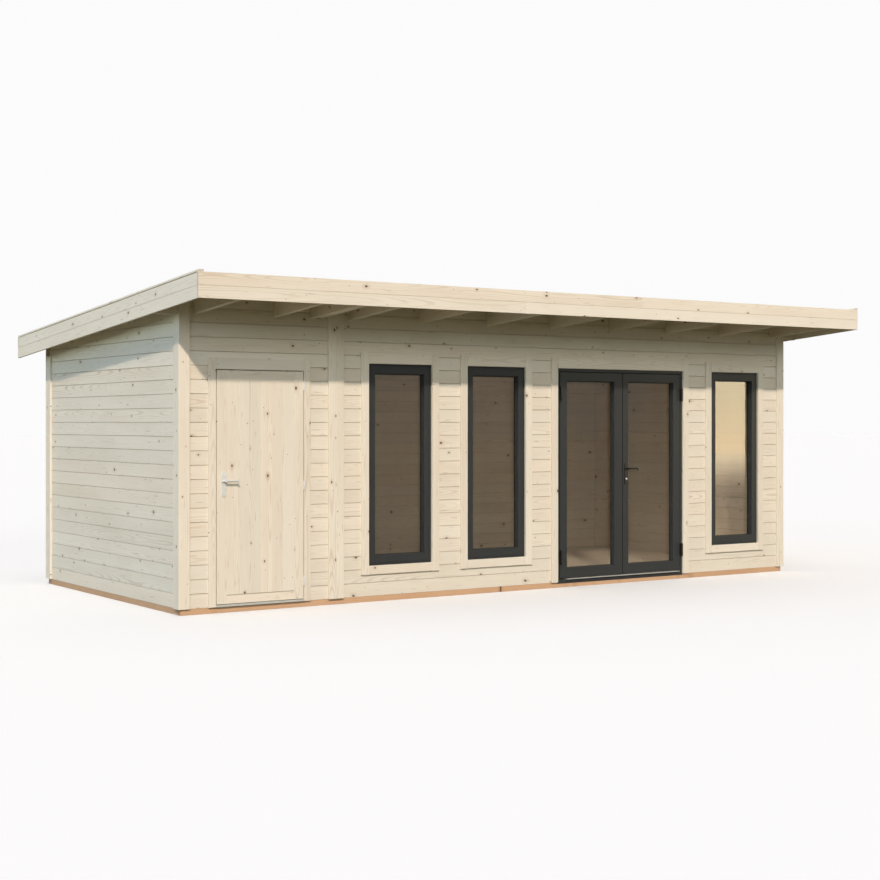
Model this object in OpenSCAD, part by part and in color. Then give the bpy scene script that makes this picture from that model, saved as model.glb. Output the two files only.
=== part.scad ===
// Guest cabin of machined logs with a store room, two rooms under one pent roof.
// The front faces -Y, +Z is up, and the origin lies on the ground under the middle of the roof.

/* [Walls] */
// Length of the front wall over its outer faces
body_w = 6680; // [5500:10:8100]
// Depth of the side walls over their outer faces
body_d = 2980; // [2400:10:3700]
// Height of the front wall above the bearers, at its outer face
front_h = 2482; // [2400:1:3000]
// Thickness of a wall log
log_t = 44; // [34:0.1:60]
// Height of one course of logs
log_h = 113.5; // [90:0.5:140]
// Depth of the V groove at each lap between two logs
lap_v = 3.5; // [2:0.5:7]
// Width of the slot at the bottom of that groove
lap_slot = 3; // [1:0.5:4]
// Distance from the left wall's outer face to the middle of the partition
partition_at = 1406; // [1270:1:1460]

/* [Ground and floor] */
// Height of the bearers under the walls
bearer_h = 50; // [40:1:100]
// Width of a bearer
bearer_w = 70; // [60:1:100]
// Setback of the bearers behind the wall faces
bearer_set = 3; // [0:1:8]
// Number of joists under the main room
joists_main = 9; // [4:1:12]
// Thickness of the floor boards
floor_t = 18; // [16:1:28]
// Gap between the floor boards and the walls
floor_gap = 5; // [2:1:10]

/* [Roof] */
// Pitch of the roof in degrees, falling to the rear
roof_pitch = 4.4; // [3:0.1:6]
// Overhang in front of the front wall
eave_front = 815; // [400:5:1000]
// Overhang behind the rear wall
eave_rear = 205; // [150:5:400]
// Overhang at each side
eave_side = 225; // [150:5:400]
// Width of a rafter
rafter_w = 45; // [38:1:60]
// Height of a rafter, measured plumb
rafter_h = 145; // [120:1:175]
// Number of single rafters
rafter_count = 10; // [8:1:10]
// Distance from a side wall's outer face to its nearest rafter
rafter_edge = 113; // [80:1:150]
// Distance from the left wall's outer face to the middle of the twin rafter
twin_rafter_at = 1214; // [1150:1:1240]
// Height of a lookout that carries the side fascia
lookout_h = 95; // [70:1:110]
// Distance between two lookouts
lookout_pitch = 730; // [600:5:800]
// Thickness of the roof boards
board_t = 19; // [16:1:25]
// Cover width of a roof board
board_w = 96; // [85:1:120]
// Thickness of the roofing felt
felt_t = 4; // [3:1:6]
// Thickness of a fascia board
fascia_t = 20; // [16:1:28]
// Rise of the fascia above the tops of the rafters
fascia_rise = 45; // [40:1:80]
// Height of the upper fascia board
fascia_upper_h = 99; // [80:1:110]
// Drop of the fascia below the rafters
fascia_drop = 5; // [0:1:15]
// Width of the strip along the top of a side fascia
verge_w = 45; // [30:1:60]
// Thickness of that strip
verge_t = 16; // [12:1:22]

/* [Cover boards] */
// Width of a corner cover board
cover_w = 95; // [80:1:120]
// Thickness of a corner cover board
cover_t = 20; // [16:1:26]
// Width of each of the two boards over the partition
split_cover_w = 72; // [60:1:85]
// Thickness of the boards over the partition
split_cover_t = 26; // [20:1:32]

/* [Windows] */
// Distances from the left wall's outer face to the middle of each window
window_at = [2051, 3071, 6016];
// Width of a window over its frame
window_w = 645; // [520:5:700]
// Height of a window over its frame
window_h = 1719; // [1400:1:1770]
// Width of the fixed outer rim of a window
rim_w = 18; // [12:1:25]
// Setback of that rim behind the sash's face
rim_set = 7; // [2:1:12]
// Width of a sash rail at the sides
sash_side = 54; // [40:1:60]
// Width of a sash rail at top and bottom
sash_end = 68; // [50:1:75]
// Depth of a window frame
window_d = 76; // [70:1:90]
// Depth of the glass behind the frame's face
glass_set = 48; // [40:1:52]
// Thickness of a glass unit
glass_t = 14; // [6:1:18]
// Depth by which the glass enters its groove
glass_in = 12; // [6:1:16]

/* [Casings] */
// Thickness of a casing board
casing_t = 20; // [16:1:26]
// Width of a side casing board
casing_side = 72; // [50:1:80]
// Width of a side casing board at the store door
casing_store = 64; // [50:1:75]
// Height of a head casing board
casing_head = 95; // [70:1:110]
// Height of a sill casing board
casing_sill = 74; // [60:1:90]

/* [Doors] */
// Height of the wall openings above the bearers
opening_h = 1975; // [1860:1:2100]
// Gap between a door leaf and its frame
leaf_gap = 6.5; // [5:0.5:8]
// Width of the store door leaf
store_leaf_w = 783; // [640:1:860]
// Distance from the left wall's outer face to the middle of the store door
store_at = 700; // [660:1:740]
// Thickness of the store door leaf
store_leaf_t = 40; // [34:1:48]
// Height of the store door leaf's top above the bearers
store_leaf_top = 1894; // [1780:1:1920]
// Thickness of a store door jamb
store_jamb_t = 45; // [30:1:50]
// Width of the double door over its frame
double_w = 1551; // [1300:1:1700]
// Distance from the left wall's outer face to the middle of the double door
double_at = 4540; // [4400:1:4700]
// Thickness of a double door jamb beside the leaf
double_jamb_t = 27; // [20:1:35]
// Thickness of a glazed leaf
leaf_t = 68; // [64:1:80]
// Width of a stile or top rail of a glazed leaf
stile_w = 84; // [70:1:95]
// Height of the bottom rail of a glazed leaf
bottom_rail_h = 92; // [80:1:140]
// Shift of the meeting line to the right of the door's middle
meeting_shift = 14; // [0:1:20]
// Height of the store door's threshold
threshold_h = 17; // [12:1:22]
// Height of the double door's cill
cill_h = 21.5; // [14:0.5:30]
// Thickness of the nosing plate on the cill
nosing_t = 7; // [5:0.5:12]
// Reach of the nosing plate in front of the wall
nosing_out = 24; // [10:1:40]
// Distance from the frame's left side to the end of the nosing plate
nosing_left = 108; // [38:1:160]
// Distance from the frame's right side to the end of the nosing plate
nosing_right = 52; // [38:1:160]

/* [Ironwork] */
// Radius of a store hinge knuckle
store_knuckle_r = 8; // [6:0.5:9]
// Length of a store hinge
store_hinge_l = 72; // [60:1:110]
// Radius of a glazed leaf's hinge knuckle
knuckle_r = 8; // [6:0.5:10]
// Length of a glazed leaf's hinge
hinge_l = 125; // [100:1:140]
// Distance of a glazed leaf's hinge axis in front of the wall
hinge_out = 34; // [30:1:40]
// Radius of a hinge pin
pin_r = 3; // [2.5:0.1:4]
// Height of the store door's lever above the bearers
store_lever_z = 1008; // [900:1:1100]
// Height of the double door's lever above the bearers
double_lever_z = 1036; // [900:1:1100]
// Length of a lever from its spindle
lever_l = 118; // [100:1:130]
// Radius of a lever's bar
lever_bar_r = 8; // [6:0.5:9]
// Length of the lever's bent tip
lever_tip = 15; // [8:1:20]
// Angle in degrees by which the tip bends down
lever_bend = 55; // [20:5:80]
// Radius of a lever's round neck
lever_neck_r = 9; // [7:0.5:10]
// Reach of a lever in front of its plate
lever_reach = 48; // [40:1:60]
// Width of the square collar on the store door's lever plate
collar_w = 46; // [40:1:60]
// Height of the collar
collar_h = 56; // [40:1:70]
// Thickness of the collar
collar_t = 9; // [4:1:16]

/* [Hidden] */

// Clearances
fit = 0.5;          // beside a timber in its notch, and round a glass in its groove
pin_fit = 0.06;     // between a pin or a lever neck and its bore
knuckle_fit = 0.4;  // between the two knuckles of a hinge
stop_gap = 5;       // between a closed leaf and the stop behind it
bed = 0.05;         // between the roof boards and the timbers under them
slot_d = 6;         // depth of the slot behind a lap's V groove
cut = 1;            // overrun of a cutting shape past a face
far = 9000;         // longer than the building

// Colours
spruce = [0.90, 0.84, 0.73];
spruce_end = [0.84, 0.77, 0.65];
treated = [0.78, 0.58, 0.40];
anthracite = [0.20, 0.21, 0.21];
pane = [0.55, 0.60, 0.60, 0.4];
metal = [0.80, 0.81, 0.80];
black = [0.10, 0.10, 0.10];
felt_grey = [0.28, 0.28, 0.29];

// The roof's plan and the walls in it
roof_w = body_w + 2 * eave_side;
roof_d = body_d + eave_front + eave_rear;
x_left = -body_w / 2;
x_right = body_w / 2;
y_front = -roof_d / 2 + eave_front;
y_rear = y_front + body_d;
y_fascia = -roof_d / 2;
z_base = bearer_h;
z_head = z_base + opening_h;
slope = tan(roof_pitch);

// Heights of a fascia below the tops of the rafters and in all
fascia_low = rafter_h + fascia_drop;
fascia_h = fascia_low + fascia_rise;

// x of a place measured along the front wall from its left end
function along(s) = x_left + s;
// Height of the underside of the roof boards over y
function roof_z(y) = z_base + front_h - (y - y_front) * slope;

// Rafters, from left to right
rafter_step = (body_w - 2 * rafter_edge - rafter_w) / (rafter_count - 1);
rafter_mids = [for (i = [0:rafter_count - 1]) x_left + rafter_edge + rafter_w / 2 + i * rafter_step];
// Lookouts: one over the front wall and the rest spaced along the side wall
lookout_first = y_front + 178;
lookout_count = floor((y_rear - log_t - lookout_first - rafter_w) / lookout_pitch) + 1;
lookout_ys = [for (i = [1:lookout_count - 1]) lookout_first + i * lookout_pitch];

// Openings in the front wall
store_w = store_leaf_w + 2 * leaf_gap + 2 * store_jamb_t;
store_l = along(store_at) - store_w / 2;
store_r = store_l + store_w;
double_l = along(double_at) - double_w / 2;
double_r = double_l + double_w;
window_z = z_head - window_h;

// ---------------------------------------------------------------- helpers

// Extrudes a section drawn in (y, z) along +X from x0 to x1
module along_x(x0, x1) {
    translate([x0, 0, 0]) rotate([90, 0, 90]) linear_extrude(x1 - x0) children();
}

// Extrudes a section drawn in (x, z) along +Y from y0 to y1
module along_y(y0, y1) {
    translate([0, y1, 0]) rotate([90, 0, 0]) linear_extrude(y1 - y0) children();
}

// A box between two corners
module block(lo, hi) {
    translate(lo) cube(hi - lo);
}

// Heights of the laps strictly inside a stretch of wall
function laps(z0, z1) = [
    for (k = [1:ceil(z1 / log_h)])
        let (z = z_base + k * log_h)
        if (z > z0 + lap_v + 0.5 && z < z1 - lap_v - 0.5) z
];

// Profile of a lap in a face at u, where out is the direction out of the face: a V, then a slot
function lap(u, z, out, rise) = [
    for (p = [[0, -lap_v], [lap_v, -lap_slot / 2], [lap_v + slot_d, -lap_slot / 2],
              [lap_v + slot_d, lap_slot / 2], [lap_v, lap_slot / 2], [0, lap_v]])
        [u - out * p[0], z + rise * p[1]]
];

// Section of a log wall, from u0 to u0 + log_t, with a groove in both faces at each lap
module log_section(u0, z0, z1) {
    zs = laps(z0, z1);
    outer = [for (z = zs) each lap(u0, z, -1, 1)];
    inner = [for (i = [len(zs) - 1:-1:0]) each lap(u0 + log_t, zs[i], 1, -1)];
    polygon(concat(
        [[u0, z0]], outer, [[u0, z1]],
        [[u0 + log_t, z1]], inner, [[u0 + log_t, z0]]
    ));
}

// Everything below the roof boards, between two depths
module under_roof(y0, y1) {
    along_x(-far, far)
        polygon([
            [y0, -cut], [y1, -cut],
            [y1, roof_z(y1)], [y0, roof_z(y0)]
        ]);
}

// A timber under the roof boards that runs from front to rear, widened by grow on both sides
module roof_timber(x_mid, width, height, y0, y1, grow = 0, over = 0) {
    along_x(x_mid - width / 2 - grow, x_mid + width / 2 + grow)
        polygon([
            [y0, roof_z(y0) - height], [y1, roof_z(y1) - height],
            [y1, roof_z(y1) + over], [y0, roof_z(y0) + over]
        ]);
}

// All rafters, and the same shapes as cutters for their notches
module rafter_set(grow = 0, over = 0) {
    y0 = y_fascia + fascia_t;
    y1 = -y_fascia - fascia_t;
    for (x = rafter_mids) roof_timber(x, rafter_w, rafter_h, y0, y1, grow, over);
    roof_timber(along(twin_rafter_at), 2 * rafter_w, rafter_h, y0, y1, grow, over);
}

// ---------------------------------------------------------------- ground and floor

module ground_bearers() {
    color(treated) for (y = [y_front + bearer_set, y_rear - bearer_set - bearer_w])
        block([x_left + bearer_set, y, 0], [x_right - bearer_set, y + bearer_w, bearer_h]);
}

partition_x = along(partition_at);
joist_from = partition_x + bearer_w;
joist_to = x_right - bearer_set - bearer_w;
joist_step = (joist_to - joist_from) / (joists_main + 1);

module cross_bearers() {
    y0 = y_front + bearer_set + bearer_w;
    y1 = y_rear - bearer_set - bearer_w;
    store_mid = (x_left + partition_x) / 2;
    mids = concat(
        [x_left + bearer_set + bearer_w / 2, x_right - bearer_set - bearer_w / 2],
        [store_mid, partition_x],
        [for (i = [1:joists_main]) joist_from + i * joist_step]
    );
    color(treated) for (x = mids)
        block([x - bearer_w / 2, y0, 0], [x + bearer_w / 2, y1, bearer_h]);
}

module floor_boards() {
    y0 = y_front + log_t + floor_gap;
    y1 = y_rear - log_t - floor_gap;
    rooms = [
        [x_left + log_t + floor_gap, partition_x - log_t / 2 - floor_gap],
        [partition_x + log_t / 2 + floor_gap, x_right - log_t - floor_gap]
    ];
    color(spruce) difference() {
        for (r = rooms) block([r[0], y0, z_base], [r[1], y1, z_base + floor_t]);
        block([store_l - floor_gap, y0 - cut, z_base - cut],
              [store_r + floor_gap, store_frame_back + floor_gap, z_base + floor_t + cut]);
        block([double_l - floor_gap, y0 - cut, z_base - cut],
              [double_r + floor_gap, double_back + floor_gap, z_base + floor_t + cut]);
    }
}

// ---------------------------------------------------------------- walls

// Full front wall between two x, from z0 up to z1
module front_logs(x0, x1, z0, z1) {
    along_x(x0, x1) log_section(y_front, z0, z1);
}

// Cuts the window openings out of a stretch of front wall
module window_holes() {
    for (s = window_at)
        block([along(s) - window_w / 2, y_front - cut, window_z],
              [along(s) + window_w / 2, y_front + log_t + cut, z_head + cut]);
}

module front_wall_corner() {
    color(spruce) front_logs(x_left, store_l, z_base, z_head);
}

module front_wall_middle() {
    color(spruce) difference() {
        front_logs(store_r, double_l, z_base, z_head);
        window_holes();
    }
}

module front_wall_right() {
    color(spruce) difference() {
        front_logs(double_r, x_right, z_base, z_head);
        window_holes();
    }
}

module front_wall_head() {
    color(spruce) difference() {
        intersection() {
            front_logs(x_left, x_right, z_head, z_base + front_h + cut);
            under_roof(y_front - cut, y_front + log_t + cut);
        }
        rafter_set(fit, 2 * cut);
    }
}

module rear_wall() {
    color(spruce) difference() {
        intersection() {
            along_x(x_left, x_right) log_section(y_rear - log_t, z_base, roof_z(y_rear - log_t) + cut);
            under_roof(y_rear - log_t - cut, y_rear + cut);
        }
        rafter_set(fit, 2 * cut);
    }
}

// A side wall between the front and rear walls, its top cut to the roof and notched for lookouts
module side_wall(u0) {
    y0 = y_front + log_t;
    y1 = y_rear - log_t;
    difference() {
        intersection() {
            along_y(y0, y1) log_section(u0, z_base, roof_z(y0) + cut);
            under_roof(y0, y1);
        }
        lookout_bars(u0 - cut, u0 + log_t + cut, fit, 2 * cut);
    }
}

module left_wall() {
    color(spruce) side_wall(x_left);
}

module right_wall() {
    color(spruce) side_wall(x_right - log_t);
}

module partition_wall() {
    y0 = y_front + log_t;
    y1 = y_rear - log_t;
    color(spruce) intersection() {
        along_y(y0, y1) log_section(partition_x - log_t / 2, z_base, roof_z(y0) + cut);
        under_roof(y0, y1);
    }
}

// ---------------------------------------------------------------- roof

module rafters() {
    color(spruce) rafter_set();
}

// The lookouts beside the side walls, from x0 to x1, widened by grow
module lookout_bars(x0, x1, grow = 0, over = 0) {
    for (y = lookout_ys) {
        ya = y - grow;
        yb = y + rafter_w + grow;
        along_x(x0, x1)
            polygon([
                [ya, roof_z(ya) - lookout_h], [yb, roof_z(yb) - lookout_h],
                [yb, roof_z(yb) + over], [ya, roof_z(ya) + over]
            ]);
    }
}

// The ends of the front and rear top logs, run out to the side fascia
module wall_consoles(x0, x1) {
    for (y = [y_front, y_rear - log_t])
        along_x(x0, x1)
            polygon([
                [y, roof_z(y) - rafter_h - 12], [y + log_t, roof_z(y) - rafter_h - 12],
                [y + log_t, roof_z(y + log_t)], [y, roof_z(y)]
            ]);
}

module lookouts() {
    inner = rafter_edge - fit;
    outer = eave_side - fascia_t;
    color(spruce) {
        lookout_bars(x_left - outer, x_left + inner);
        lookout_bars(x_right - inner, x_right + outer);
        wall_consoles(x_left - outer, x_left);
        wall_consoles(x_right, x_right + outer);
    }
}

module roof_boards() {
    y0 = y_fascia + fascia_t;
    y1 = -y_fascia - fascia_t;
    v = 4;  // depth of the groove at a joint between two boards
    joints = [for (y = [y0 + board_w:board_w:y1 - v - cut]) y];
    under = [for (y = joints) each [[y - v, roof_z(y - v)], [y, roof_z(y) + v], [y + v, roof_z(y + v)]]];
    half = roof_w / 2 - fascia_t;
    color(spruce) translate([0, 0, bed]) along_x(-half, half)
        polygon(concat(
            [[y0, roof_z(y0)]], under, [[y1, roof_z(y1)]],
            [[y1, roof_z(y1) + board_t], [y0, roof_z(y0) + board_t]]
        ));
}

module roof_felt() {
    y0 = y_fascia + fascia_t;
    y1 = -y_fascia - fascia_t;
    half = roof_w / 2 - fascia_t;
    color(felt_grey) along_x(-half, half)
        polygon([
            [y0, roof_z(y0) + bed + board_t], [y1, roof_z(y1) + bed + board_t],
            [y1, roof_z(y1) + board_t + felt_t], [y0, roof_z(y0) + board_t + felt_t]
        ]);
}

// Section of a fascia in (u, z): two boards with a V at their joint, outer face at u = 0 towards -u
module fascia_section(height, upper, lean = 0) {
    v = 3;
    joint = height - upper;
    polygon([
        [0, 0], [0, joint - v], [v, joint], [0, joint + v], [0, height],
        [fascia_t, height + lean * fascia_t], [fascia_t, 0]
    ]);
}

module front_fascia() {
    color(spruce) along_x(-roof_w / 2, roof_w / 2)
        translate([y_fascia, roof_z(y_fascia) - fascia_low])
            fascia_section(fascia_h, fascia_upper_h, -slope);
}

module rear_fascia() {
    color(spruce) along_x(-roof_w / 2, roof_w / 2)
        translate([-y_fascia, roof_z(-y_fascia) - fascia_low])
            mirror([1, 0]) fascia_section(fascia_h, fascia_upper_h, slope);
}

// A bar whose section lies in (x, z) and which follows the roof between two plumb cuts
module sloped_bar(y0, y1, drop) {
    intersection() {
        translate([0, 0, roof_z(0) - drop])
            rotate([-roof_pitch, 0, 0])
                translate([0, -roof_d, 0]) along_y(0, 2 * roof_d) children();
        block([-far, y0, 0], [far, y1, far]);
    }
}

module side_fascias() {
    y0 = y_fascia + fascia_t;
    color(spruce) for (side = [-1, 1])
        sloped_bar(y0, -y0, fascia_low)
            scale([-side, 1]) translate([-roof_w / 2, 0])
                fascia_section(fascia_h * cos(roof_pitch), fascia_upper_h);
}

module verge_strips() {
    color(spruce_end) for (side = [-1, 1])
        sloped_bar(y_fascia, -y_fascia, fascia_low - fascia_h)
            scale([-side, 1]) translate([-roof_w / 2, 0]) square([verge_w, verge_t]);
}

// ---------------------------------------------------------------- cover boards

// The corner boards at one corner: sx and sy point out of the building
module corner_cover(sx, sy) {
    xc = sx < 0 ? x_left : x_right;
    yc = sy < 0 ? y_front : y_rear;
    console_z = roof_z(sy < 0 ? y_front : y_rear - log_t) - rafter_h - 12;
    intersection() {
        union() {
            translate([xc, yc, z_base]) scale([sx, sy, 1]) {
                translate([cover_t - cover_w, 0, 0]) cube([cover_w, cover_t, far]);
            }
            translate([xc, yc, z_base]) scale([sx, sy, 1])
                translate([0, -cover_w, 0]) cube([cover_t, cover_w, console_z - z_base]);
        }
        under_roof(y_front - eave_front, y_rear + eave_rear);
    }
}

module split_cover(y0, t) {
    intersection() {
        for (side = [-1, 0])
            block([partition_x + side * split_cover_w, y0, z_base],
                  [partition_x + (side + 1) * split_cover_w, y0 + t, far]);
        under_roof(y0, y0 + t);
    }
}

module cover_boards() {
    color(spruce) {
        for (sx = [-1, 1]) for (sy = [-1, 1]) corner_cover(sx, sy);
        split_cover(y_front - split_cover_t, split_cover_t);
        split_cover(y_rear, split_cover_t);
    }
}

// ---------------------------------------------------------------- windows

module window_trims() {
    color(spruce) for (s = window_at) {
        x = along(s);
        w = window_w / 2;
        difference() {
            block([x - w - casing_side, y_front - casing_t, window_z - casing_sill],
                  [x + w + casing_side, y_front, z_head + casing_head]);
            block([x - w, y_front - casing_t - cut, window_z],
                  [x + w, y_front + cut, z_head]);
        }
    }
}

// A frame ring with a groove for its glass: outer size w by h, rails a wide and b high, depth d
module glazed_ring(w, h, a, b, d, set) {
    difference() {
        block([-w / 2, 0, 0], [w / 2, d, h]);
        block([-w / 2 + a, -cut, b], [w / 2 - a, d + cut, h - b]);
        block([-w / 2 + a - glass_in, set - fit, b - glass_in],
              [w / 2 - a + glass_in, set + glass_t + fit, h - b + glass_in]);
    }
}

// What sets the fixed rim back behind the sash, with a narrow seam around the sash
module rim_cutter(w, h) {
    seam_w = 3;
    seam_d = 10;
    difference() {
        block([-w / 2 - cut, -cut, -cut], [w / 2 + cut, rim_set, h + cut]);
        block([-w / 2 + rim_w, -2 * cut, rim_w], [w / 2 - rim_w, rim_set + cut, h - rim_w]);
    }
    difference() {
        block([-w / 2 + rim_w - seam_w, 0, rim_w - seam_w],
              [w / 2 - rim_w + seam_w, rim_set + seam_d, h - rim_w + seam_w]);
        block([-w / 2 + rim_w, -cut, rim_w], [w / 2 - rim_w, rim_set + seam_d + cut, h - rim_w]);
    }
}

module window_frames() {
    color(anthracite) for (s = window_at)
        translate([along(s), y_front, window_z])
            difference() {
                glazed_ring(window_w, window_h, rim_w + sash_side, rim_w + sash_end, window_d, glass_set);
                rim_cutter(window_w, window_h);
            }
}

// A glass unit that fills the groove of a glazed ring, less the fit
module glass_unit(w, h, a, b, set) {
    g = glass_in - fit;
    block([-w / 2 + a - g, set, b - g], [w / 2 - a + g, set + glass_t, h - b + g]);
}

module window_glass() {
    color(pane) for (s = window_at)
        translate([along(s), y_front, window_z])
            glass_unit(window_w, window_h, rim_w + sash_side, rim_w + sash_end, glass_set);
}

// ---------------------------------------------------------------- store door

store_face = y_front - casing_t;
store_back = store_face + store_leaf_t;
store_frame_back = y_front + log_t + casing_t;
store_stop = 15;
store_head_z = z_base + store_leaf_top + leaf_gap;
store_leaf_l = store_l + store_jamb_t + leaf_gap;
store_leaf_r = store_r - store_jamb_t - leaf_gap;

module store_door_jambs() {
    stop_y = store_back + stop_gap;
    color(spruce) for (side = [0, 1])
        translate([side * (store_l + store_r), 0, z_base]) scale([1 - 2 * side, 1, 1])
            linear_extrude(store_head_z - z_base)
                polygon([
                    [store_l, y_front], [store_l + store_jamb_t, y_front],
                    [store_l + store_jamb_t, stop_y], [store_l + store_jamb_t + store_stop, stop_y],
                    [store_l + store_jamb_t + store_stop, store_frame_back], [store_l, store_frame_back]
                ]);
}

module store_door_head() {
    stop_y = store_back + stop_gap;
    lip = store_jamb_t + store_stop;
    color(spruce) {
        block([store_l, y_front, store_head_z], [store_r, store_frame_back, z_head]);
        block([store_l + lip, stop_y, store_head_z - store_stop], [store_r - lip, store_frame_back, store_head_z]);
    }
}

module store_door_trim() {
    w0 = store_leaf_l - leaf_gap;
    w1 = store_leaf_r + leaf_gap;
    color(spruce) difference() {
        block([w0 - casing_store, y_front - casing_t, z_base],
              [w1 + casing_store, y_front, store_head_z + casing_head]);
        block([w0, y_front - casing_t - cut, z_base - cut],
              [w1, y_front + cut, store_head_z]);
    }
}

store_leaf_z = z_base + threshold_h + 5;
store_stile = 86;

// A V groove along X or Z in the outer face of the store leaf
module face_groove(x0, z0, x1, z1) {
    v = 3;
    if (z0 == z1)
        along_x(x0, x1) polygon([[store_face - cut, z0 - v - cut], [store_face + v, z0], [store_face - cut, z0 + v + cut]]);
    else
        translate([0, 0, z0]) linear_extrude(z1 - z0)
            polygon([[x0 - v - cut, store_face - cut], [x0, store_face + v], [x0 + v + cut, store_face - cut]]);
}

module store_door_leaf() {
    top = z_base + store_leaf_top;
    rail = store_leaf_z + 72;
    inner_l = store_leaf_l + store_stile;
    inner_r = store_leaf_r - store_stile;
    boards = 6;
    step = (inner_r - inner_l) / boards;
    color(spruce) difference() {
        block([store_leaf_l, store_face, store_leaf_z], [store_leaf_r, store_back, top]);
        face_groove(inner_l, rail, inner_r, rail);
        for (i = [0:boards]) face_groove(inner_l + i * step, rail, inner_l + i * step, top - store_stile);
        face_groove(inner_l, top - store_stile, inner_r, top - store_stile);
    }
}

// A lift-off hinge about (0, 0): the fixed half with its pin, or the moving half above it
module hinge_half(r, length, moving) {
    half = length / 2;
    if (moving)
        difference() {
            translate([0, 0, half + knuckle_fit]) cylinder(h = half - knuckle_fit, r = r, $fn = 32);
            translate([0, 0, half]) cylinder(h = half - 6, r = pin_r + pin_fit, $fn = 32);
        }
    else {
        cylinder(h = half, r = r, $fn = 32);
        translate([0, 0, half - cut]) cylinder(h = half - 12 + cut, r = pin_r, $fn = 32);
    }
}

flag_t = leaf_gap / 2 - 0.6;  // thickness of a hinge flag in the gap beside a leaf
store_axis_x = store_leaf_r + leaf_gap / 2;
store_axis_y = store_face - store_knuckle_r - 0.5;
store_hinge_zs = [167, 957, 1777];

// The fixed half of a hinge and the flag let in beside the jamb, where side points to the jamb
module fixed_hinge(r, length, side, reach) {
    hinge_half(r, length, false);
    scale([side, 1, 1]) block([leaf_gap / 2 - flag_t, 0, 0], [leaf_gap / 2, reach, length / 2]);
}

// The moving half of a hinge and the flag on the edge of its leaf
module moving_hinge(r, length, side, reach) {
    difference() {
        union() {
            hinge_half(r, length, true);
            scale([-side, 1, 1])
                block([leaf_gap / 2 - flag_t, 0, length / 2 + knuckle_fit], [leaf_gap / 2, reach, length]);
        }
        translate([0, 0, length / 2]) cylinder(h = length / 2 - 6, r = pin_r + pin_fit, $fn = 32);
    }
}

module store_hinge_pins() {
    color(metal) for (z = store_hinge_zs)
        translate([store_axis_x, store_axis_y, z_base + z - store_hinge_l / 2])
            fixed_hinge(store_knuckle_r, store_hinge_l, 1, store_knuckle_r + 30);
}

module store_hinge_flags() {
    color(metal) for (z = store_hinge_zs)
        translate([store_axis_x, store_axis_y, z_base + z - store_hinge_l / 2])
            moving_hinge(store_knuckle_r, store_hinge_l, 1, store_knuckle_r + 30);
}

// ---------------------------------------------------------------- levers

// The bore for a lever's neck, through a thickness t
module neck_bore(t) {
    rotate([90, 0, 0]) translate([0, 0, -cut]) cylinder(h = t + 2 * cut, r = lever_neck_r + pin_fit, $fn = 40);
}

// A backplate with round ends and a bore for the lever's neck, its back at y = 0, neck at (0, 0)
module lever_plate(w, up, down, t) {
    difference() {
        union() {
            block([-w / 2, -t, -down + w / 2], [w / 2, 0, up - w / 2]);
            for (z = [up - w / 2, -down + w / 2])
                translate([0, 0, z]) rotate([90, 0, 0]) cylinder(h = t, r = w / 2, $fn = 40);
        }
        neck_bore(t);
    }
}

// A lever that points to +X: a neck out of the plate and a round bar whose tip bends down
module lever_bar() {
    tip_r = lever_bar_r - 0.7;
    bend = lever_l - tip_r - lever_tip * cos(lever_bend);
    rotate([90, 0, 0]) cylinder(h = lever_reach, r = lever_neck_r, $fn = 40);
    translate([0, -lever_reach, 0]) sphere(r = lever_neck_r, $fn = 40);
    translate([0, -lever_reach, 0]) rotate([0, 90, 0]) cylinder(h = bend, r = lever_bar_r, $fn = 40);
    translate([bend, -lever_reach, 0]) {
        sphere(r = lever_bar_r, $fn = 40);
        rotate([0, 90 + lever_bend, 0]) {
            cylinder(h = lever_tip, r = tip_r, $fn = 40);
            translate([0, 0, lever_tip]) sphere(r = tip_r, $fn = 40);
        }
    }
}

plate_t = 8;
collar_rise = 18;
store_lever_x = store_leaf_l + 58;

module store_lever_plate() {
    color(metal) translate([store_lever_x, store_face, z_base + store_lever_z])
        difference() {
            union() {
                lever_plate(37, 72, 131, plate_t);
                translate([-collar_w / 2, -plate_t - collar_t, collar_rise - collar_h / 2])
                    cube([collar_w, collar_t + 1, collar_h]);
            }
            neck_bore(plate_t + collar_t);
        }
}

module store_lever() {
    color(metal) translate([store_lever_x, store_face - 1, z_base + store_lever_z]) lever_bar();
}

// ---------------------------------------------------------------- double door

leaf_face = y_front - 4;
leaf_back = leaf_face + leaf_t;
double_back = leaf_back + stop_gap + 20;
double_stop = 20;
double_head_z = z_head - double_jamb_t;
meeting_x = along(double_at) + meeting_shift;
meeting_gap = 7;
leaf_z = z_base + cill_h + nosing_t + 5.5;
leaf_top = double_head_z - leaf_gap;
left_leaf_l = double_l + double_jamb_t + leaf_gap;
left_leaf_r = meeting_x - meeting_gap / 2;
right_leaf_l = meeting_x + meeting_gap / 2;
right_leaf_r = double_r - double_jamb_t - leaf_gap;
// Depth of a leaf's back behind its hinge axis, and the splay that this needs at the meeting edge
swing_depth = hinge_out + leaf_back - y_front;
splay = swing_depth * swing_depth / (2 * (left_leaf_r - left_leaf_l)) + 1;
// The glass of both leaves is the same size, so the left leaf's meeting stile is the wider one
middle_stiles = 2 * stile_w + meeting_gap;
pane_w = (right_leaf_r - left_leaf_l - 2 * stile_w - middle_stiles) / 2;

// The store door's threshold, narrowed where it passes the door stops
module store_threshold() {
    x0 = store_l + store_jamb_t;
    x1 = store_r - store_jamb_t;
    y1 = store_back + stop_gap;
    translate([0, 0, z_base]) linear_extrude(threshold_h)
        polygon([
            [x0, store_face - 4], [x1, store_face - 4], [x1, y1], [x1 - store_stop, y1],
            [x1 - store_stop, store_frame_back], [x0 + store_stop, store_frame_back],
            [x0 + store_stop, y1], [x0, y1]
        ]);
}

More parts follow.
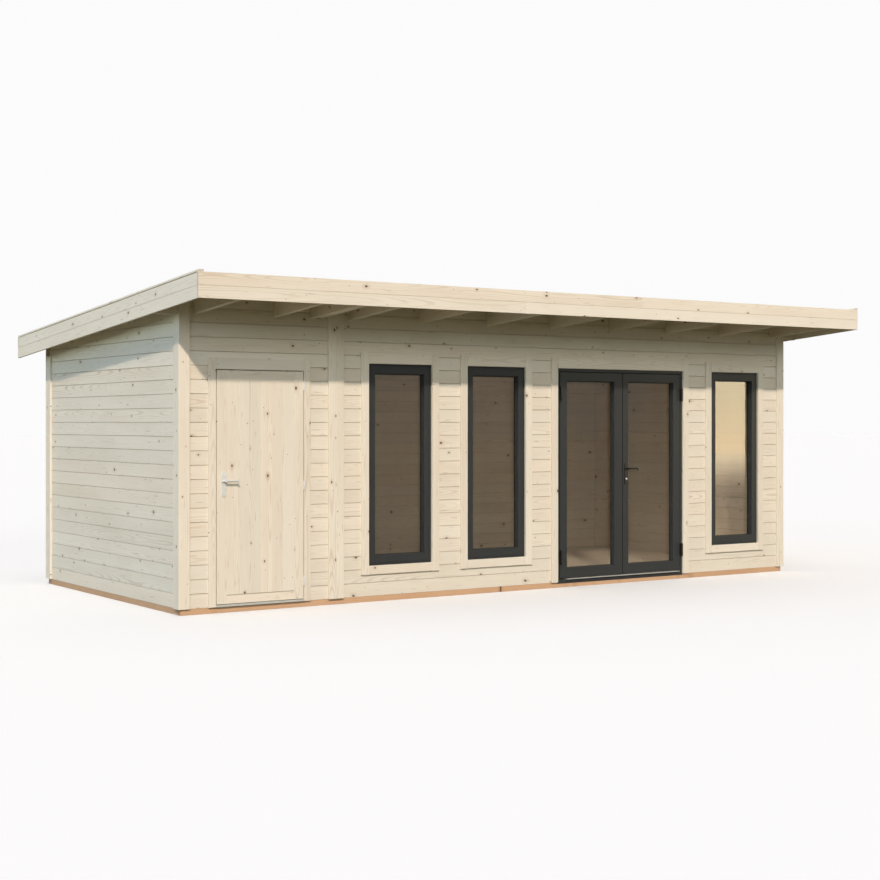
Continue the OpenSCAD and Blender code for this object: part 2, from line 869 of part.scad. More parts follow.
// The plate on the double door's cill, whose rounded nose reaches out in front of the leaves
module nosing() {
    r = nosing_t / 2;
    z = z_base + cill_h;
    y = y_front - nosing_out + r;
    along_x(double_l + nosing_left, double_r - nosing_right) {
        translate([y, z]) square([leaf_back - 10 - y, nosing_t]);
        translate([y, z + r]) circle(r = r, $fn = 32);
    }
}

module door_thresholds() {
    color(metal) {
        store_threshold();
        nosing();
    }
}

// The jambs, and the cill that joins them at the bottom
module double_door_jambs() {
    stop_y = leaf_back + stop_gap;
    j = double_jamb_t;
    color(anthracite) {
        for (side = [0, 1])
            translate([side * (double_l + double_r), 0, z_base]) scale([1 - 2 * side, 1, 1])
                linear_extrude(double_head_z - z_base)
                    polygon([
                        [double_l, y_front], [double_l + j, y_front],
                        [double_l + j, stop_y], [double_l + j + double_stop, stop_y],
                        [double_l + j + double_stop, double_back], [double_l, double_back]
                    ]);
        block([double_l + j - cut, y_front, z_base],
              [double_r - j + cut, double_back, z_base + cill_h]);
    }
}

module double_door_head() {
    stop_y = leaf_back + stop_gap;
    lip = double_jamb_t + double_stop;
    color(anthracite) {
        block([double_l, y_front, double_head_z], [double_r, double_back, z_head]);
        block([double_l + lip, stop_y, double_head_z - double_stop], [double_r - lip, double_back, double_head_z]);
    }
}

module double_door_trim() {
    color(spruce) difference() {
        block([double_l - casing_side, y_front - casing_t, z_base],
              [double_r + casing_side, y_front, z_head + casing_head]);
        block([double_l, y_front - casing_t - cut, z_base - cut],
              [double_r, y_front + cut, z_head]);
    }
}

// A glazed leaf from x0 to x1 whose glass opening runs from g0 to g1
module glazed_leaf(x0, x1, g0, g1) {
    z0 = leaf_z + bottom_rail_h;
    z1 = leaf_top - stile_w;
    difference() {
        block([x0, leaf_face, leaf_z], [x1, leaf_back, leaf_top]);
        block([g0, leaf_face - cut, z0], [g1, leaf_back + cut, z1]);
        block([g0 - glass_in, leaf_face + glass_set - fit, z0 - glass_in],
              [g1 + glass_in, leaf_face + glass_set + glass_t + fit, z1 + glass_in]);
    }
}

// The glass of a leaf
module leaf_pane(g0, g1) {
    z0 = leaf_z + bottom_rail_h;
    z1 = leaf_top - stile_w;
    g = glass_in - fit;
    block([g0 - g, leaf_face + glass_set, z0 - g], [g1 + g, leaf_face + glass_set + glass_t, z1 + g]);
}

// The wedge taken off a leaf's meeting edge so that its back corner swings clear
module edge_splay(x, side) {
    translate([x, 0, leaf_z - cut]) scale([side, 1, 1]) linear_extrude(leaf_top - leaf_z + 2 * cut)
        polygon([
            [0, leaf_face], [splay, leaf_back], [splay, leaf_back + cut],
            [-cut, leaf_back + cut], [-cut, leaf_face]
        ]);
}

left_g0 = left_leaf_l + stile_w;
right_g1 = right_leaf_r - stile_w;

module left_leaf() {
    color(anthracite) difference() {
        glazed_leaf(left_leaf_l, left_leaf_r, left_g0, left_g0 + pane_w);
        edge_splay(left_leaf_r, -1);
    }
}

module left_leaf_glass() {
    color(pane) leaf_pane(left_g0, left_g0 + pane_w);
}

module right_leaf() {
    color(anthracite) difference() {
        glazed_leaf(right_leaf_l, right_leaf_r, right_g1 - pane_w, right_g1);
        edge_splay(right_leaf_l, 1);
    }
}

module right_leaf_glass() {
    color(pane) leaf_pane(right_g1 - pane_w, right_g1);
}

hinge_zs = [234, 1744];
left_axis_x = double_l + double_jamb_t + leaf_gap / 2;
right_axis_x = double_r - double_jamb_t - leaf_gap / 2;
axis_y = y_front - hinge_out;
flag_reach = hinge_out + 34;

module double_hinge_pins() {
    color(black) for (x = [[left_axis_x, -1], [right_axis_x, 1]]) for (z = hinge_zs)
        translate([x[0], axis_y, z_base + z - hinge_l / 2])
            fixed_hinge(knuckle_r, hinge_l, x[1], flag_reach);
}

module leaf_hinges(x, side) {
    for (z = hinge_zs)
        translate([x, axis_y, z_base + z - hinge_l / 2])
            moving_hinge(knuckle_r, hinge_l, side, flag_reach);
}

module left_leaf_hinges() {
    color(black) leaf_hinges(left_axis_x, -1);
}

module right_leaf_hinges() {
    color(black) leaf_hinges(right_axis_x, 1);
}

double_lever_x = right_leaf_l + 34;
cylinder_drop = 96;

module double_lever_plate() {
    color(black) translate([double_lever_x, leaf_face, z_base + double_lever_z])
        difference() {
            lever_plate(34, 50, 150, plate_t);
            translate([0, 0, -cylinder_drop]) rotate([90, 0, 0])
                translate([0, 0, plate_t - 3]) cylinder(h = 3 + cut, r = 9, $fn = 40);
        }
}

module double_lever() {
    color(black) translate([double_lever_x, leaf_face - 1, z_base + double_lever_z]) lever_bar();
}

module lock_cylinder() {
    color(metal) translate([double_lever_x, leaf_face - plate_t + 3, z_base + double_lever_z - cylinder_drop])
        rotate([90, 0, 0]) difference() {
            cylinder(h = 9, r = 8.7, $fn = 40);
            translate([-1, -5, 7]) cube([2, 10, 3]);
        }
}

// ---------------------------------------------------------------- output

ground_bearers();
cross_bearers();
floor_boards();
front_wall_corner();
front_wall_middle();
front_wall_right();
front_wall_head();
rear_wall();
left_wall();
right_wall();
partition_wall();
rafters();
lookouts();
roof_boards();
roof_felt();
front_fascia();
rear_fascia();
side_fascias();
verge_strips();
cover_boards();
window_trims();
window_frames();
window_glass();
store_door_jambs();
store_door_head();
store_door_trim();
store_door_leaf();
store_hinge_pins();
store_hinge_flags();
store_lever_plate();
store_lever();
door_thresholds();
double_door_jambs();
double_door_head();
double_door_trim();
left_leaf();
left_leaf_glass();
right_leaf();
right_leaf_glass();
double_hinge_pins();
left_leaf_hinges();
right_leaf_hinges();
double_lever_plate();
double_lever();
lock_cylinder();
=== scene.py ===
"""Looks of the guest cabin: timber built board by board, painted frames, glazing, felt and ironwork."""

import logging
import math
from dataclasses import dataclass
from enum import Enum
from typing import NamedTuple, Sequence

import bpy
import numpy as np
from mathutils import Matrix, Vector


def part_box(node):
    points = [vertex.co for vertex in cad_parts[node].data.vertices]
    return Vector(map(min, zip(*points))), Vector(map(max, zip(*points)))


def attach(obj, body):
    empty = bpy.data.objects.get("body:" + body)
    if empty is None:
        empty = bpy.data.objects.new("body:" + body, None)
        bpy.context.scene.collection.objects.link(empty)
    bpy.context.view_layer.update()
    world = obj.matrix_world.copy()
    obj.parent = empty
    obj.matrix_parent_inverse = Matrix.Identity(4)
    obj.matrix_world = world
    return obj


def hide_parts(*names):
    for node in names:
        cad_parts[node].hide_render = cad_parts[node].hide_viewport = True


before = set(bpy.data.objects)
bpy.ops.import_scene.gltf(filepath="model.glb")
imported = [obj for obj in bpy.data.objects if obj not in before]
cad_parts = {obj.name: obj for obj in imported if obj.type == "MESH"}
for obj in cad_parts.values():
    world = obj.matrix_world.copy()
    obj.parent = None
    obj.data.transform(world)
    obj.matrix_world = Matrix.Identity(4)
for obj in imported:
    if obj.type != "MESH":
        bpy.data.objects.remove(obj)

log = logging.getLogger("cabin")
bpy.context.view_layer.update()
RGB = tuple[float, float, float]
Stops = tuple[tuple[float, RGB], ...]
Point = tuple[float, float]
Ring = Sequence[Point]
Edges = tuple[float, float, float, float]
Place = tuple[float, float, float]


class Axis(Enum):
    """The direction in which a timber runs."""

    X = 0
    Y = 1
    Z = 2


ACROSS = {Axis.X: [1, 2], Axis.Y: [0, 2], Axis.Z: [0, 1]}


class Body(Enum):
    """The CAD bodies that pieces ride on."""

    CABIN = "cabin"
    STORE_LEAF = "store_leaf"
    LEFT_DOOR = "left_door"
    RIGHT_DOOR = "right_door"


@dataclass(frozen=True)
class Plan:
    """The cabin's driving sizes, in metres, in the CAD frame.

    console_drop is how far a corner console hangs below the rafters. ease and wall_ease are the gaps left
    under the roof boards, over timbers and over walls.
    """

    body_w: float = 6.680
    body_d: float = 2.980
    front_h: float = 2.482
    log_t: float = 0.044
    log_h: float = 0.1135
    lap_v: float = 0.0035
    lap_slot: float = 0.003
    slot_d: float = 0.006
    partition_at: float = 1.406
    bearer_h: float = 0.050
    bearer_w: float = 0.070
    bearer_set: float = 0.003
    floor_t: float = 0.018
    floor_gap: float = 0.005
    pitch: float = math.radians(4.4)
    eave_front: float = 0.815
    eave_rear: float = 0.205
    eave_side: float = 0.225
    rafter_w: float = 0.045
    rafter_h: float = 0.145
    rafter_count: int = 10
    rafter_edge: float = 0.113
    twin_at: float = 1.214
    lookout_h: float = 0.095
    lookout_pitch: float = 0.730
    lookout_first: float = 0.178
    console_drop: float = 0.012
    board_t: float = 0.019
    board_w: float = 0.096
    felt_t: float = 0.004
    fascia_t: float = 0.020
    fascia_low: float = 0.150
    fascia_h: float = 0.195
    fascia_upper_h: float = 0.099
    opening_h: float = 1.975
    casing_t: float = 0.020
    ease: float = 0.0003
    wall_ease: float = 0.0005

    @property
    def roof_w(self) -> float:
        """Width of the roof over its side fascias."""
        return self.body_w + 2 * self.eave_side

    @property
    def x_left(self) -> float:
        """The left wall's outer face."""
        return -self.body_w / 2

    @property
    def x_right(self) -> float:
        """The right wall's outer face."""
        return self.body_w / 2

    @property
    def y_eave(self) -> float:
        """The front fascia's outer face."""
        return -(self.body_d + self.eave_front + self.eave_rear) / 2

    @property
    def y_front(self) -> float:
        """The front wall's outer face."""
        return self.y_eave + self.eave_front

    @property
    def y_rear(self) -> float:
        """The rear wall's outer face."""
        return self.y_front + self.body_d

    @property
    def boards_y(self) -> Point:
        """Where the roof boards begin and end, between the fascias."""
        return self.y_eave + self.fascia_t, -self.y_eave - self.fascia_t

    @property
    def slope(self) -> float:
        """Fall of the roof for each metre towards the rear."""
        return math.tan(self.pitch)

    @property
    def z_base(self) -> float:
        """The underside of the walls."""
        return self.bearer_h

    @property
    def z_head(self) -> float:
        """The top of the wall openings."""
        return self.z_base + self.opening_h

    @property
    def x_part(self) -> float:
        """The middle of the partition."""
        return self.x_left + self.partition_at

    def along(self, s: float) -> float:
        """The x of a place measured along the front wall from its left end."""
        return self.x_left + s

    def roof_z(self, y: float) -> float:
        """Height of the underside of the roof boards over y."""
        return self.z_base + self.front_h - (y - self.y_front) * self.slope

    def roof_y(self, z: float) -> float:
        """The y at which the underside of the roof boards has height z."""
        return self.y_front + (self.z_base + self.front_h - z) / self.slope


PLAN = Plan()


# ------------------------------------------------------------------ shader graphs


class Value:
    """A number in a shader graph. Each step of a formula written with it adds one Math node."""

    def __init__(self, graph: "Graph", socket: bpy.types.NodeSocket) -> None:
        """Wraps the socket that gives the number."""
        self.graph, self.socket = graph, socket

    def step(self, operation: str, b: "Value | float" = 0.0, c: "Value | float" = 0.0) -> "Value":
        """The result of a Math node that starts from this number."""
        return self.graph.math(operation, self, b, c)

    def __add__(self, other: "Value | float") -> "Value":
        """The sum."""
        return self.step("ADD", other)

    def __sub__(self, other: "Value | float") -> "Value":
        """The difference."""
        return self.step("SUBTRACT", other)

    def __mul__(self, other: "Value | float") -> "Value":
        """The product."""
        return self.step("MULTIPLY", other)

    def __truediv__(self, other: "Value | float") -> "Value":
        """The quotient."""
        return self.step("DIVIDE", other)

    def scaled(self, factor: "Value | float", shift: "Value | float") -> "Value":
        """This number times factor, plus shift, in one node."""
        return self.step("MULTIPLY_ADD", factor, shift)

    def root(self) -> "Value":
        """The square root."""
        return self.step("SQRT")


Number = Value | float


class Graph:
    """A thin builder over the node tree of a material or of a world."""

    def __init__(self, name: str, world: bpy.types.World | None = None) -> None:
        """Starts with an output and no other node.

        Args:
            name: the new material's name.
            world: the world to build instead of a material.
        """
        self.material = world or bpy.data.materials.new(name)
        self.material.use_nodes = True
        self.tree = self.material.node_tree
        self.tree.nodes.clear()
        self.out = self.tree.nodes.new("ShaderNodeOutputWorld" if world else "ShaderNodeOutputMaterial")

    def put(self, socket: bpy.types.NodeSocket, value: object) -> None:
        """Links value to socket if it comes from a node, or else sets it as the socket's own value.

        Args:
            socket: the input that takes the value.
            value: a Value, a socket, or a plain number, colour or vector.
        """
        value = value.socket if isinstance(value, Value) else value
        if isinstance(value, bpy.types.NodeSocket):
            self.tree.links.new(value, socket)
        else:
            socket.default_value = value

    def node(self, kind: str, inputs: dict | None = None, **settings: object) -> bpy.types.Node:
        """Adds a node.

        Args:
            kind: Blender's node type.
            inputs: input name or index to a value or a socket.
            settings: the node's own properties.

        Returns:
            The new node.
        """
        made = self.tree.nodes.new(kind)
        for key, value in settings.items():
            setattr(made, key, value)
        for key, value in (inputs or {}).items():
            self.put(made.inputs[key], value)
        return made

    def take(self, kind: str, inputs: dict | None = None, output: int | str = 0, **settings: object) -> Value:
        """One output of a new node, the first unless another is named."""
        return Value(self, self.node(kind, inputs, **settings).outputs[output])

    def math(self, operation: str, a: Number, b: Number = 0.0, c: Number = 0.0) -> Value:
        """The result of a Math node."""
        return self.take("ShaderNodeMath", {0: a, 1: b, 2: c}, operation=operation)

    def vector(self, x: Number, y: Number, z: Number) -> Value:
        """A vector made of three values."""
        return self.take("ShaderNodeCombineXYZ", {0: x, 1: y, 2: z})

    def parts(self, vector: object) -> list[Value]:
        """The three values of a vector."""
        return [Value(self, socket) for socket in self.node("ShaderNodeSeparateXYZ", {0: vector}).outputs]

    def noise(self, place: Value, scale: float = 1.0, detail: float = 2.0, rough: float = 0.5) -> Value:
        """Noise between 0 and 1 at a place."""
        inputs = {"Vector": place, "Scale": scale, "Detail": detail, "Roughness": rough}
        return self.take("ShaderNodeTexNoise", inputs, noise_dimensions="3D")

    def grain(self, x: Number, y: Number, z: Number, detail: float = 2.0, rough: float = 0.5) -> Value:
        """Noise at a place whose three values carry its scale."""
        return self.noise(self.vector(x, y, z), 1.0, detail, rough)

    def spots(
        self, x: Value, y: Value, cells: Point, depth: float, **more: float
    ) -> tuple[Value, Value, list[Value]]:
        """Spots, one in each cell of a net.

        Args:
            x: place along the grain.
            y: place across it.
            cells: cells to the metre in x and in y.
            depth: which layer of the pattern is cut.
            more: further inputs of the pattern.

        Returns:
            The distances to the nearest spot in x and y, and three random numbers of its cell.
        """
        place = self.vector(x * cells[0], y * cells[1], depth)
        made = self.node("ShaderNodeTexVoronoi", {"Vector": place, "Scale": 1.0, **more}).outputs
        spot, chance = self.parts(made["Position"]), self.parts(made["Color"])
        return x - spot[0] / cells[0], y - spot[1] / cells[1], chance

    def smooth(
        self, value: Value, low: Number, high: Number, to_low: float = 0.0, to_high: float = 1.0
    ) -> Value:
        """A smooth step from to_low at low to to_high at high."""
        inputs = {"Value": value, "From Min": low, "From Max": high, "To Min": to_low, "To Max": to_high}
        return self.take("ShaderNodeMapRange", inputs, interpolation_type="SMOOTHSTEP")

    def fall(self, value: Value, low: Number, high: Number) -> Value:
        """A smooth step from 1 at low to 0 at high."""
        return self.smooth(value, low, high, 1.0, 0.0)

    def mix(self, factor: Number, a: Value | RGB, b: Value | RGB, blend: str = "MIX") -> Value:
        """A mix of two colours.

        Args:
            factor: share of the second, from 0 to 1.
            a: the first colour.
            b: the second colour.
            blend: how the second is laid over the first.

        Returns:
            The mixed colour.
        """
        first, second = ((*colour, 1.0) if isinstance(colour, tuple) else colour for colour in (a, b))
        inputs = {0: factor, 6: first, 7: second}
        return self.take("ShaderNodeMix", inputs, 2, data_type="RGBA", blend_type=blend, clamp_factor=True)

    def ramp(self, value: Value, stops: Stops) -> Value:
        """A colour that runs through the stops.

        Args:
            value: the place on the ramp, from 0 to 1.
            stops: each a place and its colour.

        Returns:
            The colour.
        """
        made = self.node("ShaderNodeValToRGB", {0: value})
        band = made.color_ramp
        for _ in stops[2:]:
            band.elements.new(0.5)
        for element, (place, _) in zip(band.elements, stops):
            element.position = place
        for element, (_, colour) in zip(band.elements, stops):
            element.color = (*colour, 1.0)
        return Value(self, made.outputs[0])

    def attribute(self, name: str) -> Value:
        """The vector output of an Attribute node."""
        return self.take("ShaderNodeAttribute", output="Vector", attribute_name=name)

    def object_place(self) -> Value:
        """Object coordinates, which are metres in the CAD frame."""
        return self.take("ShaderNodeTexCoord", output="Object")

    def seen(self) -> Value:
        """1 for rays from the camera or through glass, 0 for rays that light or mirror."""
        path = self.node("ShaderNodeLightPath").outputs
        return self.math("MAXIMUM", path["Is Camera Ray"], path["Is Transmission Ray"])

    def bump(self, height: Value, distance: float, strength: float = 1.0) -> Value:
        """The normal for a height map."""
        return self.take("ShaderNodeBump", {"Height": height, "Distance": distance, "Strength": strength})

    def shader_mix(self, factor: Value, a: Value, b: Value) -> Value:
        """A mix of two shaders."""
        return self.take("ShaderNodeMixShader", {0: factor, 1: a, 2: b})

    def principled(self, **inputs: object) -> Value:
        """A Principled shader.

        Args:
            inputs: its inputs, with underscores in place of spaces in their names.

        Returns:
            The shader.
        """
        named = {}
        for key, value in inputs.items():
            colour = isinstance(value, tuple) and len(value) == 3
            named[key.replace("_", " ")] = (*value, 1.0) if colour else value
        return self.take("ShaderNodeBsdfPrincipled", named)

    def finish(self, shader: Value) -> bpy.types.Material:
        """Joins the shader to the output and returns the material."""
        self.put(self.out.inputs["Surface"], shader)
        return self.material


# ------------------------------------------------------------------ finishes


@dataclass(frozen=True)
class WoodFinish:
    """Planed softwood with growth rings, streaks, knots and a tint of its own for each board.

    Patterns live in each timber's own metres: x along the grain, y across its broad face, z into it. spread
    carries every timber to a place of its own in them, and cells are counted to the metre in x and y.
    """

    name: str = "spruce"
    light: RGB = (0.86, 0.795, 0.68)
    dark: RGB = (0.61, 0.49, 0.355)
    knot: RGB = (0.13, 0.075, 0.045)
    knot_share: float = 0.5
    tint: float = 0.03
    streak: float = 1.0
    rough: float = 0.62
    ring: float = 0.0085
    spread: tuple[float, float, float] = (61.0, 37.0, 23.0)
    knot_cells: Point = (1.7, 8.0)
    knot_radius: Point = (0.0035, 0.009)
    pin_cells: Point = (3.1, 7.0)
    pin_radius: Point = (0.002, 0.0045)

    def knots(self, g: Graph, x: Value, y: Value) -> tuple[Value, Value, Value]:
        """Knots and pin knots, kept where a cell's own number is low enough.

        The grain parts around a knot: a line that passes at y has come from sqrt(y^2 - R^2 exp(-x^2 / L^2)).

        Args:
            g: the graph.
            x: place along the grain.
            y: place across it.

        Returns:
            How far a place is knot, how far it is the darker wood around one, and how much the grain is
            pushed aside there.
        """
        dx, dy, chance = g.spots(x, y, self.knot_cells, 0.0, Randomness=0.9)
        away = (dx * (dx * 0.5) + dy * dy).root()
        radius = chance[0].step("POWER", 1.6).scaled(self.knot_radius[1], self.knot_radius[0])
        there = chance[1].step("LESS_THAN", self.knot_share)
        core = g.fall(away, radius * 0.6, radius) * there
        halo = g.fall(away, radius, radius * 3.5) * there
        near = g.fall(away, radius * 3.0, radius * 9.0) * there
        stretch = dx / (radius * 3.2)
        bulge = (stretch * stretch * -1.0).step("EXPONENT")
        wide = radius * radius * 2.9 * (bulge * near)
        origin = (dy * dy - wide).step("MAXIMUM", 0.0).root()
        parted = origin * dy.step("SIGN") - dy
        dx, dy, chance = g.spots(x, y, self.pin_cells, 5.5)
        pin = g.fall((dx * dx + dy * dy).root(), *self.pin_radius)
        pin = pin * chance[0].step("LESS_THAN", self.knot_share)
        return core.step("MAXIMUM", pin), halo, parted

    def rings(
        self, g: Graph, own: list[Value], place: list[Value], tint: list[Value], parted: Value
    ) -> Value:
        """Late wood, which is 1 in the dark part of each growth ring.

        Rings are cylinders around a pith line that lies behind the board's face and wanders along it, so
        that they come out as flames where the line is near and as stripes beside it.

        Args:
            g: the graph.
            own: place from the timber's middle.
            place: place in the pattern.
            tint: the timber's three random numbers.
            parted: how much knots push the grain aside.

        Returns:
            The share of late wood.
        """
        x, y, z = place
        wander = g.grain(x * 0.9, y * 4.0, z, 3.0, 0.55)
        deep = g.grain(x * 0.55, tint[0], tint[1], 1.0)
        pith_y = (tint[1] - 0.5).scaled(0.11, (wander - 0.5) * 0.05)
        pith_z = (deep - 0.35).scaled(0.16, tint[2].scaled(0.05, own[2]))
        side = own[1] - pith_y + parted
        reach = (side * side + pith_z * pith_z).root()
        return g.smooth((reach * (2 * math.pi / self.ring)).step("SINE"), 0.15, 1.0)

    def build(self) -> bpy.types.Material:
        """Makes the material. It reads the attributes that TimberMesh writes."""
        g = Graph(self.name)
        own, tint = g.parts(g.attribute("wood")), g.parts(g.attribute("tint"))
        place = [mine.scaled(far, at) for mine, far, at in zip(tint, self.spread, own)]
        x, y, z = place
        core, halo, parted = self.knots(g, x, y)
        late = self.rings(g, own, place, tint, parted)
        fade = g.grain(x * 0.7, y * 12.0, z)
        fine = g.grain(x * 3.0, y * 170.0, z * 110.0, 2.0, 0.6)
        dash = g.grain(x * 6.5, y * 95.0, z, 1.0)
        patch = g.grain(x * 1.1, y * 3.5, z)
        # rings, fibres, patches and the wood around knots darken it, and short dashes cross it
        amount = late * g.smooth(fade, 0.35, 0.7, 0.25, 1.0)
        amount = amount * tint[2].scaled(0.22 * self.streak, 0.26 * self.streak)
        amount = g.smooth(fine, 0.5, 0.8).scaled(0.20 * self.streak, amount)
        amount = g.smooth(patch, 0.4, 0.75).scaled(0.16 * self.streak, amount)
        colour = g.mix(halo.scaled(0.34, amount), self.light, self.dark)
        colour = g.mix(g.smooth(dash, 0.68, 0.80) * (0.30 * self.streak), colour, self.knot)
        # each timber's own tint
        value = tint[0].scaled(2 * self.tint, 1.0 - self.tint)
        pinkish = g.mix(tint[1], (0.985, 1.0, 1.0), (1.0, 0.98, 0.955))
        colour = g.mix(1.0, colour, pinkish, "MULTIPLY")
        colour = g.mix(1.0, colour, g.vector(value, value, value), "MULTIPLY")
        # sawn ends
        end = g.mix(late, tuple(0.86 * c for c in self.light), tuple(0.72 * c for c in self.dark))
        colour = g.mix(g.parts(g.attribute("cut"))[0], g.mix(core * 0.92, colour, self.knot), end)
        # painted shade: darker towards the knot colour at the bottom of joints and grooves, read from the
        # shade attribute
        shade = g.parts(g.attribute("shade"))[0]
        colour = g.mix(g.smooth(shade, 0.0, 1.0) * 0.3, colour, self.knot)
        rough = late.scaled(0.14, self.rough - 0.07)
        normal = g.bump(late.scaled(0.5, fine * 0.5), 0.0006, 0.4)
        return g.finish(
            g.principled(Base_Color=colour, Roughness=rough, Specular_IOR_Level=0.3, Normal=normal)
        )


@dataclass(frozen=True)
class PaintFinish:
    """Satin paint over planed wood, with faint upright brush marks, so many to the metre each way."""

    name: str = "anthracite_paint"
    colour: RGB = (0.033, 0.036, 0.037)
    rough: float = 0.45
    marks: Point = (160.0, 5.0)

    def build(self) -> bpy.types.Material:
        """Makes the material."""
        g = Graph(self.name)
        x, y, z = g.parts(g.object_place())
        marks = g.grain(x * self.marks[0], y * self.marks[0], z * self.marks[1], 3.0)
        cloud = g.noise(g.object_place(), 2.4)
        light = tuple(1.35 * c for c in self.colour)
        colour = g.mix((marks + cloud) * 0.5, self.colour, light)
        rough = cloud.scaled(0.16, self.rough - 0.08)
        normal = g.bump(marks, 0.0004, 0.3)
        return g.finish(
            g.principled(Base_Color=colour, Roughness=rough, Specular_IOR_Level=0.2, Normal=normal)
        )


@dataclass(frozen=True)
class GlassFinish:
    """Clear glazing that lets lamps through, with a warm tint that is painted shade: it darkens the room seen
    through it and the lamps' light let in.
    """

    name: str = "glass"
    # painted shade: colour dims the view into the room and shadow dims the lamps' light let in
    colour: RGB = (0.68, 0.66, 0.62)
    shadow: RGB = (0.66, 0.66, 0.65)

    def build(self) -> bpy.types.Material:
        """Makes the material."""
        g = Graph(self.name)
        solid = g.principled(Base_Color=self.colour, Roughness=0.0, IOR=1.48, Transmission_Weight=1.0)
        clear = g.take("ShaderNodeBsdfTransparent", {"Color": (*self.shadow, 1.0)})
        lamp = g.take("ShaderNodeLightPath", output="Is Shadow Ray")
        return g.finish(g.shader_mix(lamp, solid, clear))


@dataclass(frozen=True)
class MetalFinish:
    """Satin metal with fine upright scratches, or a lacquered metal where metallic is low."""

    name: str
    colour: RGB
    rough: float
    metallic: float
    scratches: Point = (900.0, 60.0)

    def build(self) -> bpy.types.Material:
        """Makes the material."""
        g = Graph(self.name)
        x, y, z = g.parts(g.object_place())
        hair = g.grain(x * self.scratches[0], y * self.scratches[0], z * self.scratches[1])
        worn = tuple(0.82 * c for c in self.colour)
        colour = g.mix(g.noise(g.object_place(), 25.0), self.colour, worn)
        rough = hair.scaled(0.14, self.rough - 0.07)
        normal = g.bump(hair, 0.0001, 0.25)
        return g.finish(
            g.principled(Base_Color=colour, Metallic=self.metallic, Roughness=rough, Normal=normal)
        )


@dataclass(frozen=True)
class FeltFinish:
    """Mineral roofing felt: dark grey with fine grit."""

    name: str = "roof_felt"
    colour: RGB = (0.085, 0.088, 0.092)

    def build(self) -> bpy.types.Material:
        """Makes the material."""
        g = Graph(self.name)
        place = g.object_place()
        grit = g.noise(place, 420.0, 2.0, 0.7)
        speck = g.mix(g.smooth(grit, 0.42, 0.68), self.colour, tuple(2.6 * c for c in self.colour))
        colour = g.mix(g.noise(place, 1.6, 3.0) * 0.5, speck, tuple(0.6 * c for c in self.colour))
        normal = g.bump(grit, 0.0012, 0.6)
        return g.finish(
            g.principled(Base_Color=colour, Roughness=0.93, Specular_IOR_Level=0.2, Normal=normal)
        )


@dataclass(frozen=True)
class RubberFinish:
    """Black glazing gasket."""

    name: str = "gasket"
    dark: RGB = (0.012, 0.012, 0.012)
    light: RGB = (0.02, 0.02, 0.02)

    def build(self) -> bpy.types.Material:
        """Makes the material."""
        g = Graph(self.name)
        colour = g.mix(g.noise(g.object_place(), 60.0), self.dark, self.light)
        return g.finish(g.principled(Base_Color=colour, Roughness=0.6))


class Coat(NamedTuple):
    """A material for new pieces, and a slot name kept with it."""

    material: bpy.types.Material
    slot: str


class Finishes:
    """All materials of the cabin, built once each."""

    def __init__(self) -> None:
        """Builds the materials."""
        self.spruce = Coat(WoodFinish().build(), "spruce")
        treated = WoodFinish(
            name="treated_wood", light=(0.66, 0.42, 0.255), dark=(0.47, 0.27, 0.145),
            knot=(0.14, 0.07, 0.035), knot_share=0.35, tint=0.10, streak=1.2, rough=0.7,
        )
        self.treated = Coat(treated.build(), "treated_wood")
        self.paint = Coat(PaintFinish().build(), "anthracite_paint")
        self.glass = GlassFinish().build()
        self.silver = MetalFinish("silver_metal", (0.90, 0.905, 0.89), 0.34, 0.25).build()
        self.black = MetalFinish("black_metal", (0.022, 0.022, 0.023), 0.36, 0.25).build()
        self.sill = MetalFinish("threshold_metal", (0.73, 0.74, 0.69), 0.42, 0.3).build()
        self.felt = Coat(FeltFinish().build(), "roof_felt")
        self.gasket = Coat(RubberFinish().build(), "black_metal")


# ------------------------------------------------------------------ mesh tools


def link(name: str, data: bpy.types.ID) -> bpy.types.Object:
    """Makes an object of a mesh, camera or lamp and puts it into the scene."""
    made = bpy.data.objects.new(name, data)
    bpy.context.scene.collection.objects.link(made)
    return made


def solid(
    name: str, points: list, faces: list[tuple[int, ...]], material: bpy.types.Material
) -> bpy.types.Object:
    """Makes an object of a new mesh.

    Args:
        name: the name of both.
        points: vertex positions.
        faces: vertex numbers of each face, in outward order.
        material: the finish.

    Returns:
        The new object.
    """
    mesh = bpy.data.meshes.new(name)
    mesh.from_pydata(points, [], faces)
    mesh.materials.append(material)
    mesh.update()
    return link(name, mesh)


class Piece:
    """Points and faces that are collected for one object."""

    def __init__(self, name: str) -> None:
        """Starts an empty collection under the piece's name."""
        self.name = name
        self.points: list[np.ndarray] = []
        self.faces: list[tuple[int, ...]] = []
        self.count = 0

    def build(self, coat: Coat, *nodes: str, body: Body = Body.CABIN) -> bpy.types.Object:
        """Args:
            coat: the finish.
            nodes: CAD nodes that it replaces.
            body: the body it rides on.

        Returns:
            The new object.
        """
        made = solid(self.name, np.vstack(self.points).tolist(), self.faces, coat.material)
        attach(made, body.value)
        if nodes:
            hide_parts(*nodes)
        log.info("%s: %d faces on %s", self.name, len(self.faces), body.value)
        return made


def plank(u0: float, u1: float, v0: float, v1: float, chamfer: float = 0.0015) -> Ring:
    """A rectangle with its four corners cut off by chamfer."""
    c = chamfer
    return [
        (u0 + c, v0), (u1 - c, v0), (u1, v0 + c), (u1, v1 - c),
        (u1 - c, v1), (u0 + c, v1), (u0, v1 - c), (u0, v0 + c),
    ]


Look = tuple[list[int], np.ndarray, np.ndarray]


